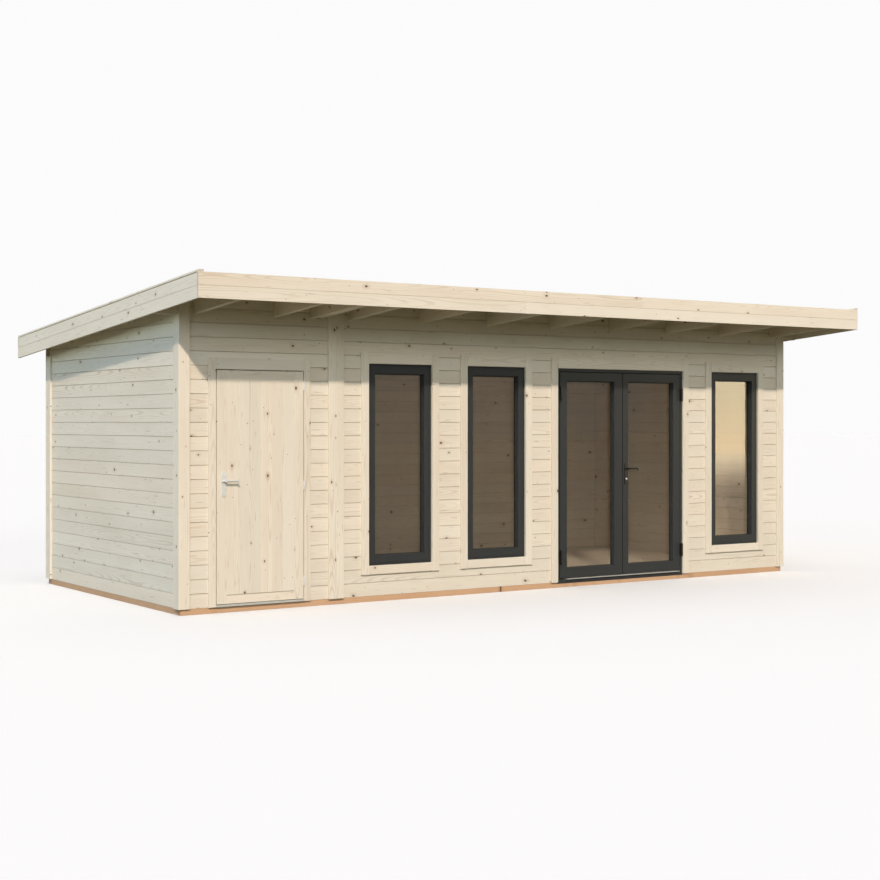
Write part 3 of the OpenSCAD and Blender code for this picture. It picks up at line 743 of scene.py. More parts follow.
class TimberMesh(Piece):
    """Collects straight timbers and keeps, for each, its own grain coordinates and tint."""

    def __init__(self, name: str, seed: int) -> None:
        """Starts an empty collection.

        Args:
            name: the piece's name.
            seed: the start of the random numbers for grain and tint.
        """
        super().__init__(name)
        self.rng = np.random.default_rng(seed)
        self.wood: list[np.ndarray] = []
        self.tint: list[np.ndarray] = []
        self.cut: list[float] = []
        self.shade: list[np.ndarray] = []
        self.looks: dict[object, Look] = {}

    def look(self, key: object, axes: list[int], middle: np.ndarray) -> Look:
        """The grain axes, middle and three random numbers that all pieces of one real timber share."""
        if key is None or key not in self.looks:
            made = (axes, middle, self.rng.uniform(0, 1, 3))
            if key is None:
                return made
            self.looks[key] = made
        return self.looks[key]

    def prism(
        self,
        ring: Ring,
        along: Axis,
        low: float | Sequence[float],
        high: float | Sequence[float],
        key: object = None,
        lean: float = 0.0,
        shade: Sequence[float] | None = None,
        broad: Axis | None = None,
    ) -> None:
        """Adds one timber of constant section.

        Args:
            ring: its section in the other two axes, in their order.
            along: the way it runs.
            low: where it starts, one number or one for each point of the ring.
            high: where it ends, in the same way.
            key: pieces with the same key share grain and tint.
            lean: rise in z for each metre along y, for timbers along y.
            shade: painted shade for each point of the ring, 1 at the bottom of a joint and 0 elsewhere.
            broad: the axis across the timber's broad face, where that isn't its wider side.
        """
        section = np.asarray(ring, float)
        n = len(section)
        order = ACROSS[along]
        both = np.zeros((2, n, 3))
        for k, end in enumerate((low, high)):
            both[k, :, along.value] = end
            both[k, :, order[0]] = section[:, 0]
            both[k, :, order[1]] = section[:, 1]
        local = both.copy()
        if along is Axis.Y:
            both[:, :, 2] += lean * both[:, :, 1]
        turned = np.roll(section, -1, axis=0)
        area = 0.5 * np.sum(section[:, 0] * turned[:, 1] - turned[:, 0] * section[:, 1])
        flip = (area < 0) != (along is Axis.Y)
        extent = np.ptp(section, axis=0)
        wide, thin = (order[0], order[1]) if extent[0] >= extent[1] else (order[1], order[0])
        if broad is not None and broad.value != wide:
            wide, thin = thin, wide
        mean = np.mean(local.reshape(-1, 3), axis=0)
        axes, middle, tint = self.look(key, [along.value, wide, thin], mean)
        wood = (local.reshape(-1, 3) - middle)[:, axes]
        base = self.count
        sides = [(base + i, base + (i + 1) % n, base + n + (i + 1) % n, base + n + i) for i in range(n)]
        caps = [tuple(base + i for i in range(n))[::-1], tuple(base + n + i for i in range(n))]
        for face, is_cut in [(s, 0.0) for s in sides] + [(c, 1.0) for c in caps]:
            self.faces.append(face[::-1] if flip else face)
            self.cut.extend([is_cut] * len(face))
        self.points.append(both.reshape(-1, 3))
        self.wood.append(wood)
        self.tint.append(np.tile(tint, (2 * n, 1)))
        self.shade.append(np.tile(np.zeros(n) if shade is None else np.asarray(shade, float), 2))
        self.count += 2 * n

    def box(
        self, low: Place, high: Place, along: Axis, key: object = None, chamfer: float = 0.0015
    ) -> None:
        """Adds a chamfered board between two corners.

        Args:
            low: its lowest corner.
            high: its highest corner.
            along: the way its grain runs.
            key: pieces with the same key share grain and tint.
            chamfer: size of the broken edges.
        """
        a, b = ACROSS[along]
        ring = plank(low[a], high[a], low[b], high[b], chamfer)
        self.prism(ring, along, low[along.value], high[along.value], key)

    def build(self, coat: Coat, *nodes: str, body: Body = Body.CABIN) -> bpy.types.Object:
        """Makes the object with the four attributes that WoodFinish reads.

        Args:
            coat: the finish.
            nodes: CAD nodes that it replaces.
            body: the body it rides on.

        Returns:
            The new object.
        """
        made = super().build(coat, *nodes, body=body)
        mesh = made.data
        for name, rows in (("wood", self.wood), ("tint", self.tint)):
            layer = mesh.attributes.new(name, "FLOAT_VECTOR", "POINT")
            layer.data.foreach_set("vector", np.vstack(rows).astype(np.float32).ravel())
        # the shade attribute is painted shade at the bottom of joints and grooves
        depth = mesh.attributes.new("shade", "FLOAT", "POINT")
        depth.data.foreach_set("value", np.concatenate(self.shade).astype(np.float32))
        flags = mesh.attributes.new("cut", "FLOAT", "CORNER")
        flags.data.foreach_set("value", np.asarray(self.cut, np.float32))
        return made


class RingMesh(Piece):
    """Rectangular frames swept from one section, standing in the plane of the front wall."""

    def sweep(self, outer: Edges, inset: Ring, widths: Edges, face_y: float) -> None:
        """Adds one frame.

        Args:
            outer: its left, right, bottom and top.
            inset: the closed section as (share of the rail's width inwards, depth behind the face).
            widths: the rails' widths at the left, right, bottom and top.
            face_y: the y of its face.
        """
        left, right, bottom, top = outer
        share = np.array([p[0] for p in inset])
        depth = np.array([p[1] for p in inset])
        xl, xr = left + share * widths[0], right - share * widths[1]
        zb, zt = bottom + share * widths[2], top - share * widths[3]
        y = face_y + depth
        corners = [np.stack(c, axis=1) for c in ((xl, y, zb), (xr, y, zb), (xr, y, zt), (xl, y, zt))]
        n = len(share)
        turned_s, turned_d = np.roll(share, -1), np.roll(depth, -1)
        area = 0.5 * float(np.sum(share * turned_d - turned_s * depth))
        base = self.count
        for c in range(4):
            d = (c + 1) % 4
            for i in range(n):
                j = (i + 1) % n
                face = (base + c * n + i, base + c * n + j, base + d * n + j, base + d * n + i)
                self.faces.append(face if area < 0 else face[::-1])
        self.points.append(np.vstack(corners))
        self.count += 4 * n


def dress(node: str, material: bpy.types.Material) -> None:
    """Gives a CAD node that stays in view its material.

    Args:
        node: the CAD node's name.
        material: the finish.
    """
    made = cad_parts[node]
    if not made.material_slots:
        made.data.materials.append(material)
    for place in made.material_slots:
        place.link = "OBJECT"
        place.material = material
    log.info("%s dressed with %s", node, material.name)


# ------------------------------------------------------------------ walls


@dataclass(frozen=True)
class Opening:
    """A hole in the front wall."""

    left: float
    right: float
    bottom: float
    top: float


@dataclass
class LogWalls:
    """The log walls, course by course, with V grooves at the laps."""

    plan: Plan = PLAN
    window_at: tuple[float, ...] = (2.051, 3.071, 6.016)
    window_w: float = 0.645
    window_h: float = 1.719
    store_at: float = 0.700
    store_w: float = 0.886
    store_jamb: float = 0.045
    store_clear_h: float = 1.9005
    double_at: float = 4.540
    double_w: float = 1.551

    def openings(self) -> list[Opening]:
        """The holes for doors and windows, from left to right."""
        p = self.plan
        holes = [(s, self.window_w, p.z_head - self.window_h) for s in self.window_at]
        holes += [(self.store_at, self.store_w, p.z_base), (self.double_at, self.double_w, p.z_base)]
        found = [Opening(p.along(s) - w / 2, p.along(s) + w / 2, low, p.z_head) for s, w, low in holes]
        return sorted(found, key=lambda o: o.left)

    def windows(self) -> list[Opening]:
        """The holes for windows, from left to right."""
        return [hole for hole in self.openings() if hole.bottom > self.plan.z_base]

    def ring(
        self, u0: float, low: float, high: float, course: Point, first: bool, last: bool
    ) -> tuple[Ring, list[float]]:
        """The section of one log, or of a slab of it, as (depth, height) points, and its painted shade.

        Args:
            u0: the wall's lower face across its thickness.
            low: the slab's underside.
            high: the slab's top.
            course: the whole log's underside and top.
            first: True for the lowest log, whose lower edges stay square.
            last: True where the top stays square.

        Returns:
            The section, and its painted shade: 1 for each of its points at the bottom of a lap.
        """
        u1, v = u0 + self.plan.log_t, self.plan.lap_v
        deep, half = v + self.plan.slot_d, self.plan.lap_slot / 2
        under = abs(low - course[0]) < 1e-6 and not first
        over = abs(high - course[1]) < 1e-6 and not last
        # the third number of each point is painted shade: full in the slot, partial on the downward chamfers
        points = [(u0, low, 0.0), (u1, low, 0.0)]
        if under:
            points = [
                (u0, low + v, 0.0), (u0 + v, low + half, 0.4), (u0 + deep, low + half, 1.0),
                (u0 + deep, low, 1.0), (u1 - deep, low, 1.0),
                (u1 - deep, low + half, 1.0), (u1 - v, low + half, 0.4), (u1, low + v, 0.0),
            ]
        if over:
            points += [
                (u1, high - v, 0.0), (u1 - v, high - half, 0.0), (u1 - deep, high - half, 1.0),
                (u1 - deep, high, 1.0), (u0 + deep, high, 1.0),
                (u0 + deep, high - half, 1.0), (u0 + v, high - half, 0.0), (u0, high - v, 0.0),
            ]
        else:
            points += [(u1, high, 0.0), (u0, high, 0.0)]
        return [(u, z) for u, z, _ in points], [dark for _, _, dark in points]

    def courses(self, top: float) -> list[tuple[float, float]]:
        """The undersides and tops of the logs up to a height."""
        p = self.plan
        count = int(math.ceil((top - p.z_base) / p.log_h - 1e-9))
        return [(p.z_base + k * p.log_h, min(top, p.z_base + (k + 1) * p.log_h)) for k in range(count)]

    def long_wall(self, name: str, u0: float, holes: list[Opening], seed: int) -> TimberMesh:
        """A wall along x with its openings.

        Args:
            name: the piece's name.
            u0: the y of its front face.
            holes: the openings in it.
            seed: for grain and tint.

        Returns:
            The timbers of the wall.
        """
        p = self.plan
        mesh = TimberMesh(name, seed)
        top = p.roof_z(u0 + p.log_t) - p.wall_ease
        for k, (low, high) in enumerate(self.courses(top)):
            cuts = sorted({low, high, *[z for h in holes for z in (h.bottom, h.top) if low < z < high]})
            for a, b in zip(cuts, cuts[1:]):
                x = p.x_left
                middle = (a + b) / 2
                for hole in [h for h in holes if h.bottom < middle < h.top] + [None]:
                    end = hole.left if hole else p.x_right
                    ring, deep = self.ring(u0, a, b, (low, high), k == 0, high >= top - 1e-6)
                    mesh.prism(ring, Axis.X, x, end, key=k, shade=deep, broad=Axis.Z)
                    x = hole.right if hole else end
        return mesh

    def side_wall(self, name: str, u0: float, seed: int) -> TimberMesh:
        """A wall along y whose top follows the roof.

        Args:
            name: the piece's name.
            u0: the x of its left face.
            seed: for grain and tint.

        Returns:
            The timbers of the wall.
        """
        p = self.plan
        y0, y1 = p.y_front + p.log_t, p.y_rear - p.log_t
        mesh = TimberMesh(name, seed)
        for k, (low, high) in enumerate(self.courses(p.roof_z(y0) - p.wall_ease)):
            full = p.roof_z(y1)
            cuts = sorted({low, high, *([full] if low < full < high else [])})
            for a, b in zip(cuts, cuts[1:]):
                ring, deep = self.ring(u0, a, b, (low, high), k == 0, b > p.roof_z(y0) - 0.001)
                ends = [min(y1, max(y0 + 0.001, p.roof_y(z + p.ease))) for _, z in ring]
                mesh.prism(ring, Axis.Y, y0, ends, key=k, shade=deep, broad=Axis.Z)
        return mesh

    def build(self, f: Finishes) -> None:
        """Makes all five walls.

        Args:
            f: the finishes.
        """
        p = self.plan
        front = self.long_wall("front_wall_logs", p.y_front, self.openings(), 11)
        front.build(f.spruce, "front_wall_corner", "front_wall_middle", "front_wall_right", "front_wall_head")
        self.long_wall("rear_wall_logs", p.y_rear - p.log_t, [], 12).build(f.spruce, "rear_wall")
        for name, u0, seed, node in (
            ("left_wall_logs", p.x_left, 13, "left_wall"),
            ("right_wall_logs", p.x_right - p.log_t, 14, "right_wall"),
            ("partition_logs", p.x_part - p.log_t / 2, 15, "partition_wall"),
        ):
            self.side_wall(name, u0, seed).build(f.spruce, node)


# ------------------------------------------------------------------ ground and floor


@dataclass
class Base:
    """Bearers on the ground and the floor boards over them."""

    plan: Plan = PLAN
    joists: int = 9
    floor_board: float = 0.096
    store_l: float = -3.083
    store_r: float = -2.197
    store_back: float = -1.121
    double_l: float = 0.4245
    double_r: float = 1.9755
    double_back: float = -1.096

    def bearers(self, f: Finishes) -> None:
        """Makes the bearers under the walls and the floor.

        Args:
            f: the finishes.
        """
        p = self.plan
        mesh = TimberMesh("bearers", 21)
        left, right = p.x_left + p.bearer_set, p.x_right - p.bearer_set
        y0, y1 = p.y_front + p.bearer_set, p.y_rear - p.bearer_set
        for k, y in enumerate((y0, y1 - p.bearer_w)):
            mesh.box((left, y, 0.0), (right, y + p.bearer_w, p.bearer_h), Axis.X, ("long", k), 0.002)
        joist_from = p.x_part + p.bearer_w
        step = (right - p.bearer_w - joist_from) / (self.joists + 1)
        mids = [left + p.bearer_w / 2, right - p.bearer_w / 2, (p.x_left + p.x_part) / 2, p.x_part]
        mids += [joist_from + i * step for i in range(1, self.joists + 1)]
        for x in mids:
            low = (x - p.bearer_w / 2, y0 + p.bearer_w, 0.0)
            mesh.box(low, (x + p.bearer_w / 2, y1 - p.bearer_w, p.bearer_h), Axis.Y, None, 0.002)
        mesh.build(f.treated, "ground_bearers", "cross_bearers")

    def floors(self, f: Finishes) -> None:
        """Makes the floor boards of both rooms, cut back around the door frames.

        Args:
            f: the finishes.
        """
        p = self.plan
        mesh = TimberMesh("floor_boards_laid", 22)
        gap = p.floor_gap
        y0, y1 = p.y_front + p.log_t + gap, p.y_rear - p.log_t - gap
        store = (self.store_l, self.store_r, self.store_back)
        double = (self.double_l, self.double_r, self.double_back)
        rooms = (
            (p.x_left + p.log_t + gap, p.x_part - p.log_t / 2 - gap, store),
            (p.x_part + p.log_t / 2 + gap, p.x_right - p.log_t - gap, double),
        )
        for room, (x0, x1, (gap_l, gap_r, gap_y)) in enumerate(rooms):
            y = y0
            edge = gap_y + gap
            while y < y1 - 0.001:
                end = min(y + self.floor_board, y1)
                if y < edge < end:
                    end = edge
                spans = [(x0, gap_l - gap), (gap_r + gap, x1)] if y < edge - 1e-6 else [(x0, x1)]
                for a, b in spans:
                    low, high = (a, y, p.z_base), (b, end, p.z_base + p.floor_t)
                    mesh.box(low, high, Axis.X, (room, round(y, 4)), 0.001)
                y = end
        mesh.build(f.spruce, "floor_boards")

    def build(self, f: Finishes) -> None:
        """Makes bearers and floors."""
        self.bearers(f)
        self.floors(f)


# ------------------------------------------------------------------ roof


@dataclass
class Roof:
    """Rafters, lookouts, roof boards, felt, fascias and verge strips."""

    plan: Plan = PLAN
    verge_w: float = 0.045
    verge_t: float = 0.016
    strip: float = 1.0
    strip_lap: float = 0.08
    rear_console_h: float = 0.080
    shadow_gap: float = 0.006
    shadow_depth: float = 0.012
    board_groove: float = 0.004
    fascia_groove: float = 0.003
    felt_step: float = 0.0018
    felt_ease: float = 0.0002

    def rafters(self, f: Finishes) -> None:
        """Makes the rafters in three lengths each, in front of, between and behind the walls.

        Args:
            f: the finishes.
        """
        p = self.plan
        mesh = TimberMesh("rafters_cut", 31)
        step = (p.body_w - 2 * p.rafter_edge - p.rafter_w) / (p.rafter_count - 1)
        half = p.rafter_w / 2
        mids = [p.x_left + p.rafter_edge + half + i * step for i in range(p.rafter_count)]
        twin = p.along(p.twin_at)
        mids += [twin - half, twin + half]
        zero = p.roof_z(0.0)
        spans = (
            (p.boards_y[0], p.y_front),
            (p.y_front + p.log_t, p.y_rear - p.log_t),
            (p.y_rear, p.boards_y[1]),
        )
        for k, x in enumerate(mids):
            ring = plank(x - half, x + half, zero - p.rafter_h, zero - p.ease, 0.002)
            for a, b in spans:
                mesh.prism(ring, Axis.Y, a, b, k, -p.slope)
        mesh.build(f.spruce, "rafters")

    def under(self, *places: float) -> list[Point]:
        """Points just under the roof boards at some places along y."""
        return [(y, self.plan.roof_z(y) - self.plan.ease) for y in places]

    def lookouts(self, f: Finishes) -> None:
        """Makes the lookouts beside the side walls and the wall consoles at the four corners.

        Args:
            f: the finishes.
        """
        p = self.plan
        mesh = TimberMesh("lookouts_cut", 32)
        first = p.y_front + p.lookout_first
        count = int((p.y_rear - p.log_t - first - p.rafter_w) / p.lookout_pitch) + 1
        wall = p.body_w / 2
        outside = (wall, wall + p.eave_side - p.fascia_t)
        inside = (wall - p.rafter_edge + p.wall_ease, wall - p.log_t)
        for side in (-1, 1):
            spans = [sorted((side * a, side * b)) for a, b in (outside, inside)]
            for i in range(1, count):
                y = first + i * p.lookout_pitch
                end = y + p.rafter_w
                low = (y, p.roof_z(y) - p.lookout_h), (end, p.roof_z(end) - p.lookout_h)
                for a, b in spans:
                    mesh.prism([*low, *self.under(end, y)], Axis.X, a, b, ("bar", side, i))
            rear = p.y_rear - p.log_t
            for y, height in ((p.y_front, p.rafter_h + p.console_drop), (rear, self.rear_console_h)):
                low, end = p.roof_z(y) - height, y + p.log_t
                ring = [(y, low), (end, low), *self.under(end, y)]
                mesh.prism(ring, Axis.X, *spans[0], ("console", side, y))
        mesh.build(f.spruce, "lookouts")

    def boards(self, f: Finishes) -> None:
        """Makes the roof boards with their grooved joints below.

        Args:
            f: the finishes.
        """
        p = self.plan
        mesh = TimberMesh("roof_boards_laid", 33)
        y0, y1 = p.boards_y
        half = p.roof_w / 2 - p.fascia_t
        v = self.board_groove
        edges = list(np.arange(y0, y1 - 0.02, p.board_w)) + [y1]
        for a, b in zip(edges, edges[1:]):
            va, vb = (v if a > y0 else 0.0), (v if b < y1 else 0.0)
            ring = [
                (a + va, p.roof_z(a + va)), (b - vb, p.roof_z(b - vb)), (b, p.roof_z(b) + vb),
                (b, p.roof_z(b) + p.board_t), (a, p.roof_z(a) + p.board_t), (a, p.roof_z(a) + va),
            ]
            ring = [q for i, q in enumerate(ring) if i == 0 or q != ring[i - 1]]
            # painted shade at the bottom of the grooves between boards
            deep = [float(abs(z - p.roof_z(y) - v) < 1e-9) for y, z in ring]
            mesh.prism(ring, Axis.X, -half, half, None, shade=deep)
        mesh.build(f.spruce, "roof_boards")

    def felt(self, f: Finishes) -> None:
        """Makes the felt in strips that lap down the slope.

        Args:
            f: the finishes.
        """
        p = self.plan
        y0, y1 = p.boards_y
        half = p.roof_w / 2 - p.fascia_t
        mesh = TimberMesh("roof_felt_strips", 34)
        edges = list(np.arange(y0, y1 - 0.1, self.strip - self.strip_lap)) + [y1]
        for k, (a, b) in enumerate(zip(edges, edges[1:])):
            z0, z1 = p.roof_z(a) + p.board_t, p.roof_z(b) + p.board_t
            low, high = [(a, z0 + self.felt_ease), (b, z1 + self.felt_ease)], [(b, z1 + p.felt_t)]
            mesh.prism([*low, *high, (a, z0 + p.felt_t - self.felt_step)], Axis.X, -half, half, k)
        mesh.build(f.felt, "roof_felt")

    def lower_board(self) -> list[Point]:
        """The section of a fascia's lower board, as (depth, height), with half of the groove at its top."""
        t, v, joint = self.plan.fascia_t, self.fascia_groove, self.plan.fascia_h - self.plan.fascia_upper_h
        return [(0.001, 0), (t, 0), (t, joint), (v, joint), (0, joint - v), (0, 0.001)]

    def end_fascias(self, f: Finishes) -> None:
        """Makes the fascias along the front and the rear, each course in two lengths.

        Args:
            f: the finishes.
        """
        p = self.plan
        v, joint, t = self.fascia_groove, p.fascia_h - p.fascia_upper_h, p.fascia_t
        # the side, the seed and the courses with the place where each is joined
        front = ("front_fascia_boards", 1, 35, "front_fascia", ((0, -0.55), (1, -0.55 + 1.3)))
        rear = ("rear_fascia_boards", -1, 36, "rear_fascia", ((1, 0.4 - 0.9),))
        for name, side, seed, node, courses in (front, rear):
            mesh = TimberMesh(name, seed)
            y = side * p.y_eave
            low = p.roof_z(y) - p.fascia_low
            lift = -p.slope * side * t
            upper = [(v, joint), (t, joint), (t, p.fascia_h + lift), (0, p.fascia_h), (0, joint + v)]
            for k, split in courses:
                ring = (self.lower_board(), upper)[k]
                placed = [(y + side * u, low + z) for u, z in ring]
                for i, (a, b) in enumerate(((-p.roof_w / 2, split), (split, p.roof_w / 2))):
                    # painted shade at the bottom of the groove between the two boards
                    mesh.prism(placed, Axis.X, a, b, (k, i), shade=[float(u == v) for u, _ in ring])
            mesh.build(f.spruce, node)

    def side_fascias(self, f: Finishes) -> None:
        """Makes the fascias at the sides, with a groove below the strips that lie on them.

        Args:
            f: the finishes.
        """
        p = self.plan
        v, joint, t = self.fascia_groove, p.fascia_h - p.fascia_upper_h, p.fascia_t
        mesh, strips = TimberMesh("side_fascia_boards", 37), TimberMesh("verge_boards", 38)
        zero = p.roof_z(0.0) - p.fascia_low
        d, brow = self.shadow_depth, p.fascia_h - self.shadow_gap
        upper = [(v, joint), (t, joint), (t, p.fascia_h), (d, p.fascia_h)]
        upper += [(d, brow), (0, brow), (0, joint + v)]
        for side in (-1, 1):
            x = side * p.roof_w / 2
            for k, ring in enumerate((self.lower_board(), upper)):
                placed = [(x - side * u, zero + z) for u, z in ring]
                # painted shade at the bottom of the board groove and of the slot under the verge strip
                deep = [float(u in (v, d)) for u, _ in ring]
                mesh.prism(placed, Axis.Y, p.y_eave + t, -p.y_eave - t * k, (side, k), -p.slope, shade=deep)
            top = zero + p.fascia_h + p.ease
            ring = plank(*sorted((x, x - side * self.verge_w)), top, top + self.verge_t, 0.0015)
            strips.prism(ring, Axis.Y, p.y_eave, -p.y_eave, side, -p.slope)
        mesh.build(f.spruce, "side_fascias")
        strips.build(f.spruce, "verge_strips")

    def build(self, f: Finishes) -> None:
        """Makes the whole roof.

        Args:
            f: the finishes.
        """
        self.rafters(f)
        self.lookouts(f)
        self.boards(f)
        self.felt(f)
        self.end_fascias(f)
        self.side_fascias(f)


# ------------------------------------------------------------------ cover boards and casings


@dataclass
class Covers:
    """Cover boards at the corners and over the ends of the partition."""

    plan: Plan = PLAN
    cover_w: float = 0.095
    cover_t: float = 0.020
    split_w: float = 0.072
    split_t: float = 0.026

    def tops(self, ring: Ring) -> list[float]:
        """Where boards end under the roof, for each point of their section."""
        return [self.plan.roof_z(y) - self.plan.wall_ease for _, y in ring]

    def build(self, f: Finishes) -> None:
        """Makes the boards.

        Args:
            f: the finishes.
        """
        p = self.plan
        mesh = TimberMesh("cover_boards_cut", 41)
        t, w = self.cover_t, self.cover_w
        for sx in (-1, 1):
            for sy in (-1, 1):
                xc = sx * p.body_w / 2
                yc = p.y_front if sy < 0 else p.y_rear
                y_lo, y_hi = sorted((yc, yc + sy * t))
                x_lo, x_hi = sorted((xc + sx * t, xc + sx * (t - w)))
                ring = plank(x_lo, x_hi, y_lo, y_hi, 0.002)
                mesh.prism(ring, Axis.Z, p.z_base, self.tops(ring), ("face", sx, sy))
                console = p.roof_z(yc if sy < 0 else p.y_rear - p.log_t) - p.rafter_h - p.console_drop
                x_lo, x_hi = sorted((xc, xc + sx * t))
                y_lo, y_hi = sorted((yc, yc - sy * w))
                mesh.prism(plank(x_lo, x_hi, y_lo, y_hi, 0.002), Axis.Z, p.z_base, console, ("side", sx, sy))
        for y in (p.y_front - self.split_t, p.y_rear):
            for k in (-1, 0):
                x = p.x_part + k * self.split_w
                ring = plank(x, x + self.split_w, y, y + self.split_t, 0.002)
                mesh.prism(ring, Axis.Z, p.z_base, self.tops(ring), ("split", k, y))
        mesh.build(f.spruce, "cover_boards")


@dataclass
class Casings:
    """Casing boards around the openings."""

    plan: Plan = PLAN
    side: float = 0.072
    side_store: float = 0.064
    head: float = 0.095
    sill: float = 0.074

    def surround(self, mesh: TimberMesh, hole: Opening, side: float, sill: float, tag: object) -> None:
        """Adds the side, head and sill boards of one opening.

        Args:
            mesh: where they are added.
            hole: the opening that they surround.
            side: width of a side board.
            sill: height of the sill board, 0 at a door.
            tag: keeps each board's grain apart.
        """
        p = self.plan
        y0, y1 = p.y_front - p.casing_t, p.y_front
        low, high = hole.bottom - sill, hole.top + self.head
        for k, (a, b) in enumerate(((hole.left - side, hole.left), (hole.right, hole.right + side))):
            mesh.box((a, y0, low), (b, y1, high), Axis.Z, (tag, k), 0.002)
        mesh.box((hole.left, y0, hole.top), (hole.right, y1, high), Axis.X, (tag, 2), 0.002)
        if sill:
            mesh.box((hole.left, y0, low), (hole.right, y1, hole.bottom), Axis.X, (tag, 3), 0.002)

    def build(self, f: Finishes, walls: LogWalls) -> None:
        """Makes the casings of windows and doors.

        Args:
            f: the finishes.
            walls: the log walls, for their openings.
        """
        p = self.plan
        windows = TimberMesh("window_casings", 51)
        for hole in walls.windows():
            self.surround(windows, hole, self.side, self.sill, hole.left)
        windows.build(f.spruce, "window_trims")
        store = TimberMesh("store_casing", 52)
        hole, jamb = walls.openings()[0], walls.store_jamb
        inner = Opening(hole.left + jamb, hole.right - jamb, p.z_base, p.z_base + walls.store_clear_h)
        self.surround(store, inner, self.side_store, 0.0, "store")
        store.build(f.spruce, "store_door_trim")
        double = TimberMesh("double_casing", 53)
        self.surround(double, walls.openings()[3], self.side, 0.0, "double")
        double.build(f.spruce, "double_door_trim")


# ------------------------------------------------------------------ windows and doors


@dataclass(frozen=True)
class Glazing:
    """How panes sit in their rails: the room kept around a pane, and the gasket in front of it."""

    front_room: float = 0.0005
    back_room: float = 0.0145
    seal_w: float = 0.005
    seal_d: float = 0.0045
    section: tuple[Point, ...] = ((0.0, 0.0), (1.0, 0.001), (1.0, 0.004), (0.0, 0.004))

    def pocket(self, depth: float) -> Point:
        """Front and back of the rails' rebate for a pane whose face lies at a depth."""
        return depth - self.front_room, depth + self.back_room

    def seal(self, mesh: RingMesh, edge: Edges, pane_y: float) -> None:
        """Adds the gasket within the rails' inner edge, in front of a pane whose face is at pane_y."""
        mesh.sweep(edge, self.section, (self.seal_w,) * 4, pane_y - self.seal_d)


GLAZING = Glazing()


@dataclass
class Windows:
    """The fixed windows: painted rim and sash, gasket and glass."""

    plan: Plan = PLAN
    rim: float = 0.018
    rim_set: float = 0.007
    seam: float = 0.003
    sash_side: float = 0.054
    sash_end: float = 0.068
    depth: float = 0.076
    glass_set: float = 0.048

    def build(self, f: Finishes, walls: LogWalls) -> None:
        """Makes the frames and gaskets and dresses the glass.

        Args:
            f: the finishes.
            walls: the log walls, for their openings.
        """
        p = self.plan
        frames, seals = RingMesh("window_sashes"), RingMesh("window_gaskets")
        seam = 1.0 - self.seam / self.rim
        rim = [
            (0.0, self.rim_set), (seam, self.rim_set), (seam, self.rim_set + 0.010),
            (1.0, self.rim_set + 0.010), (1.0, self.depth), (0.0, self.depth),
        ]
        front, back = GLAZING.pocket(self.glass_set)
        sash = [
            (0.0, 0.0015), (0.03, 0.0), (0.94, 0.0), (1.0, 0.004), (1.0, front),
            (0.8, front), (0.8, back), (1.0, back), (1.0, self.depth), (0.0, self.depth),
        ]
        sides, ends = self.sash_side, self.sash_end
        for hole in walls.windows():
            frames.sweep((hole.left, hole.right, hole.bottom, hole.top), rim, (self.rim,) * 4, p.y_front)
            l, r = hole.left + self.rim, hole.right - self.rim
            low, top = hole.bottom + self.rim, hole.top - self.rim
            frames.sweep((l, r, low, top), sash, (sides, sides, ends, ends), p.y_front)
            GLAZING.seal(seals, (l + sides, r - sides, low + ends, top - ends), p.y_front + self.glass_set)
        frames.build(f.paint, "window_frames")
        seals.build(f.gasket)
        dress("window_glass", f.glass)


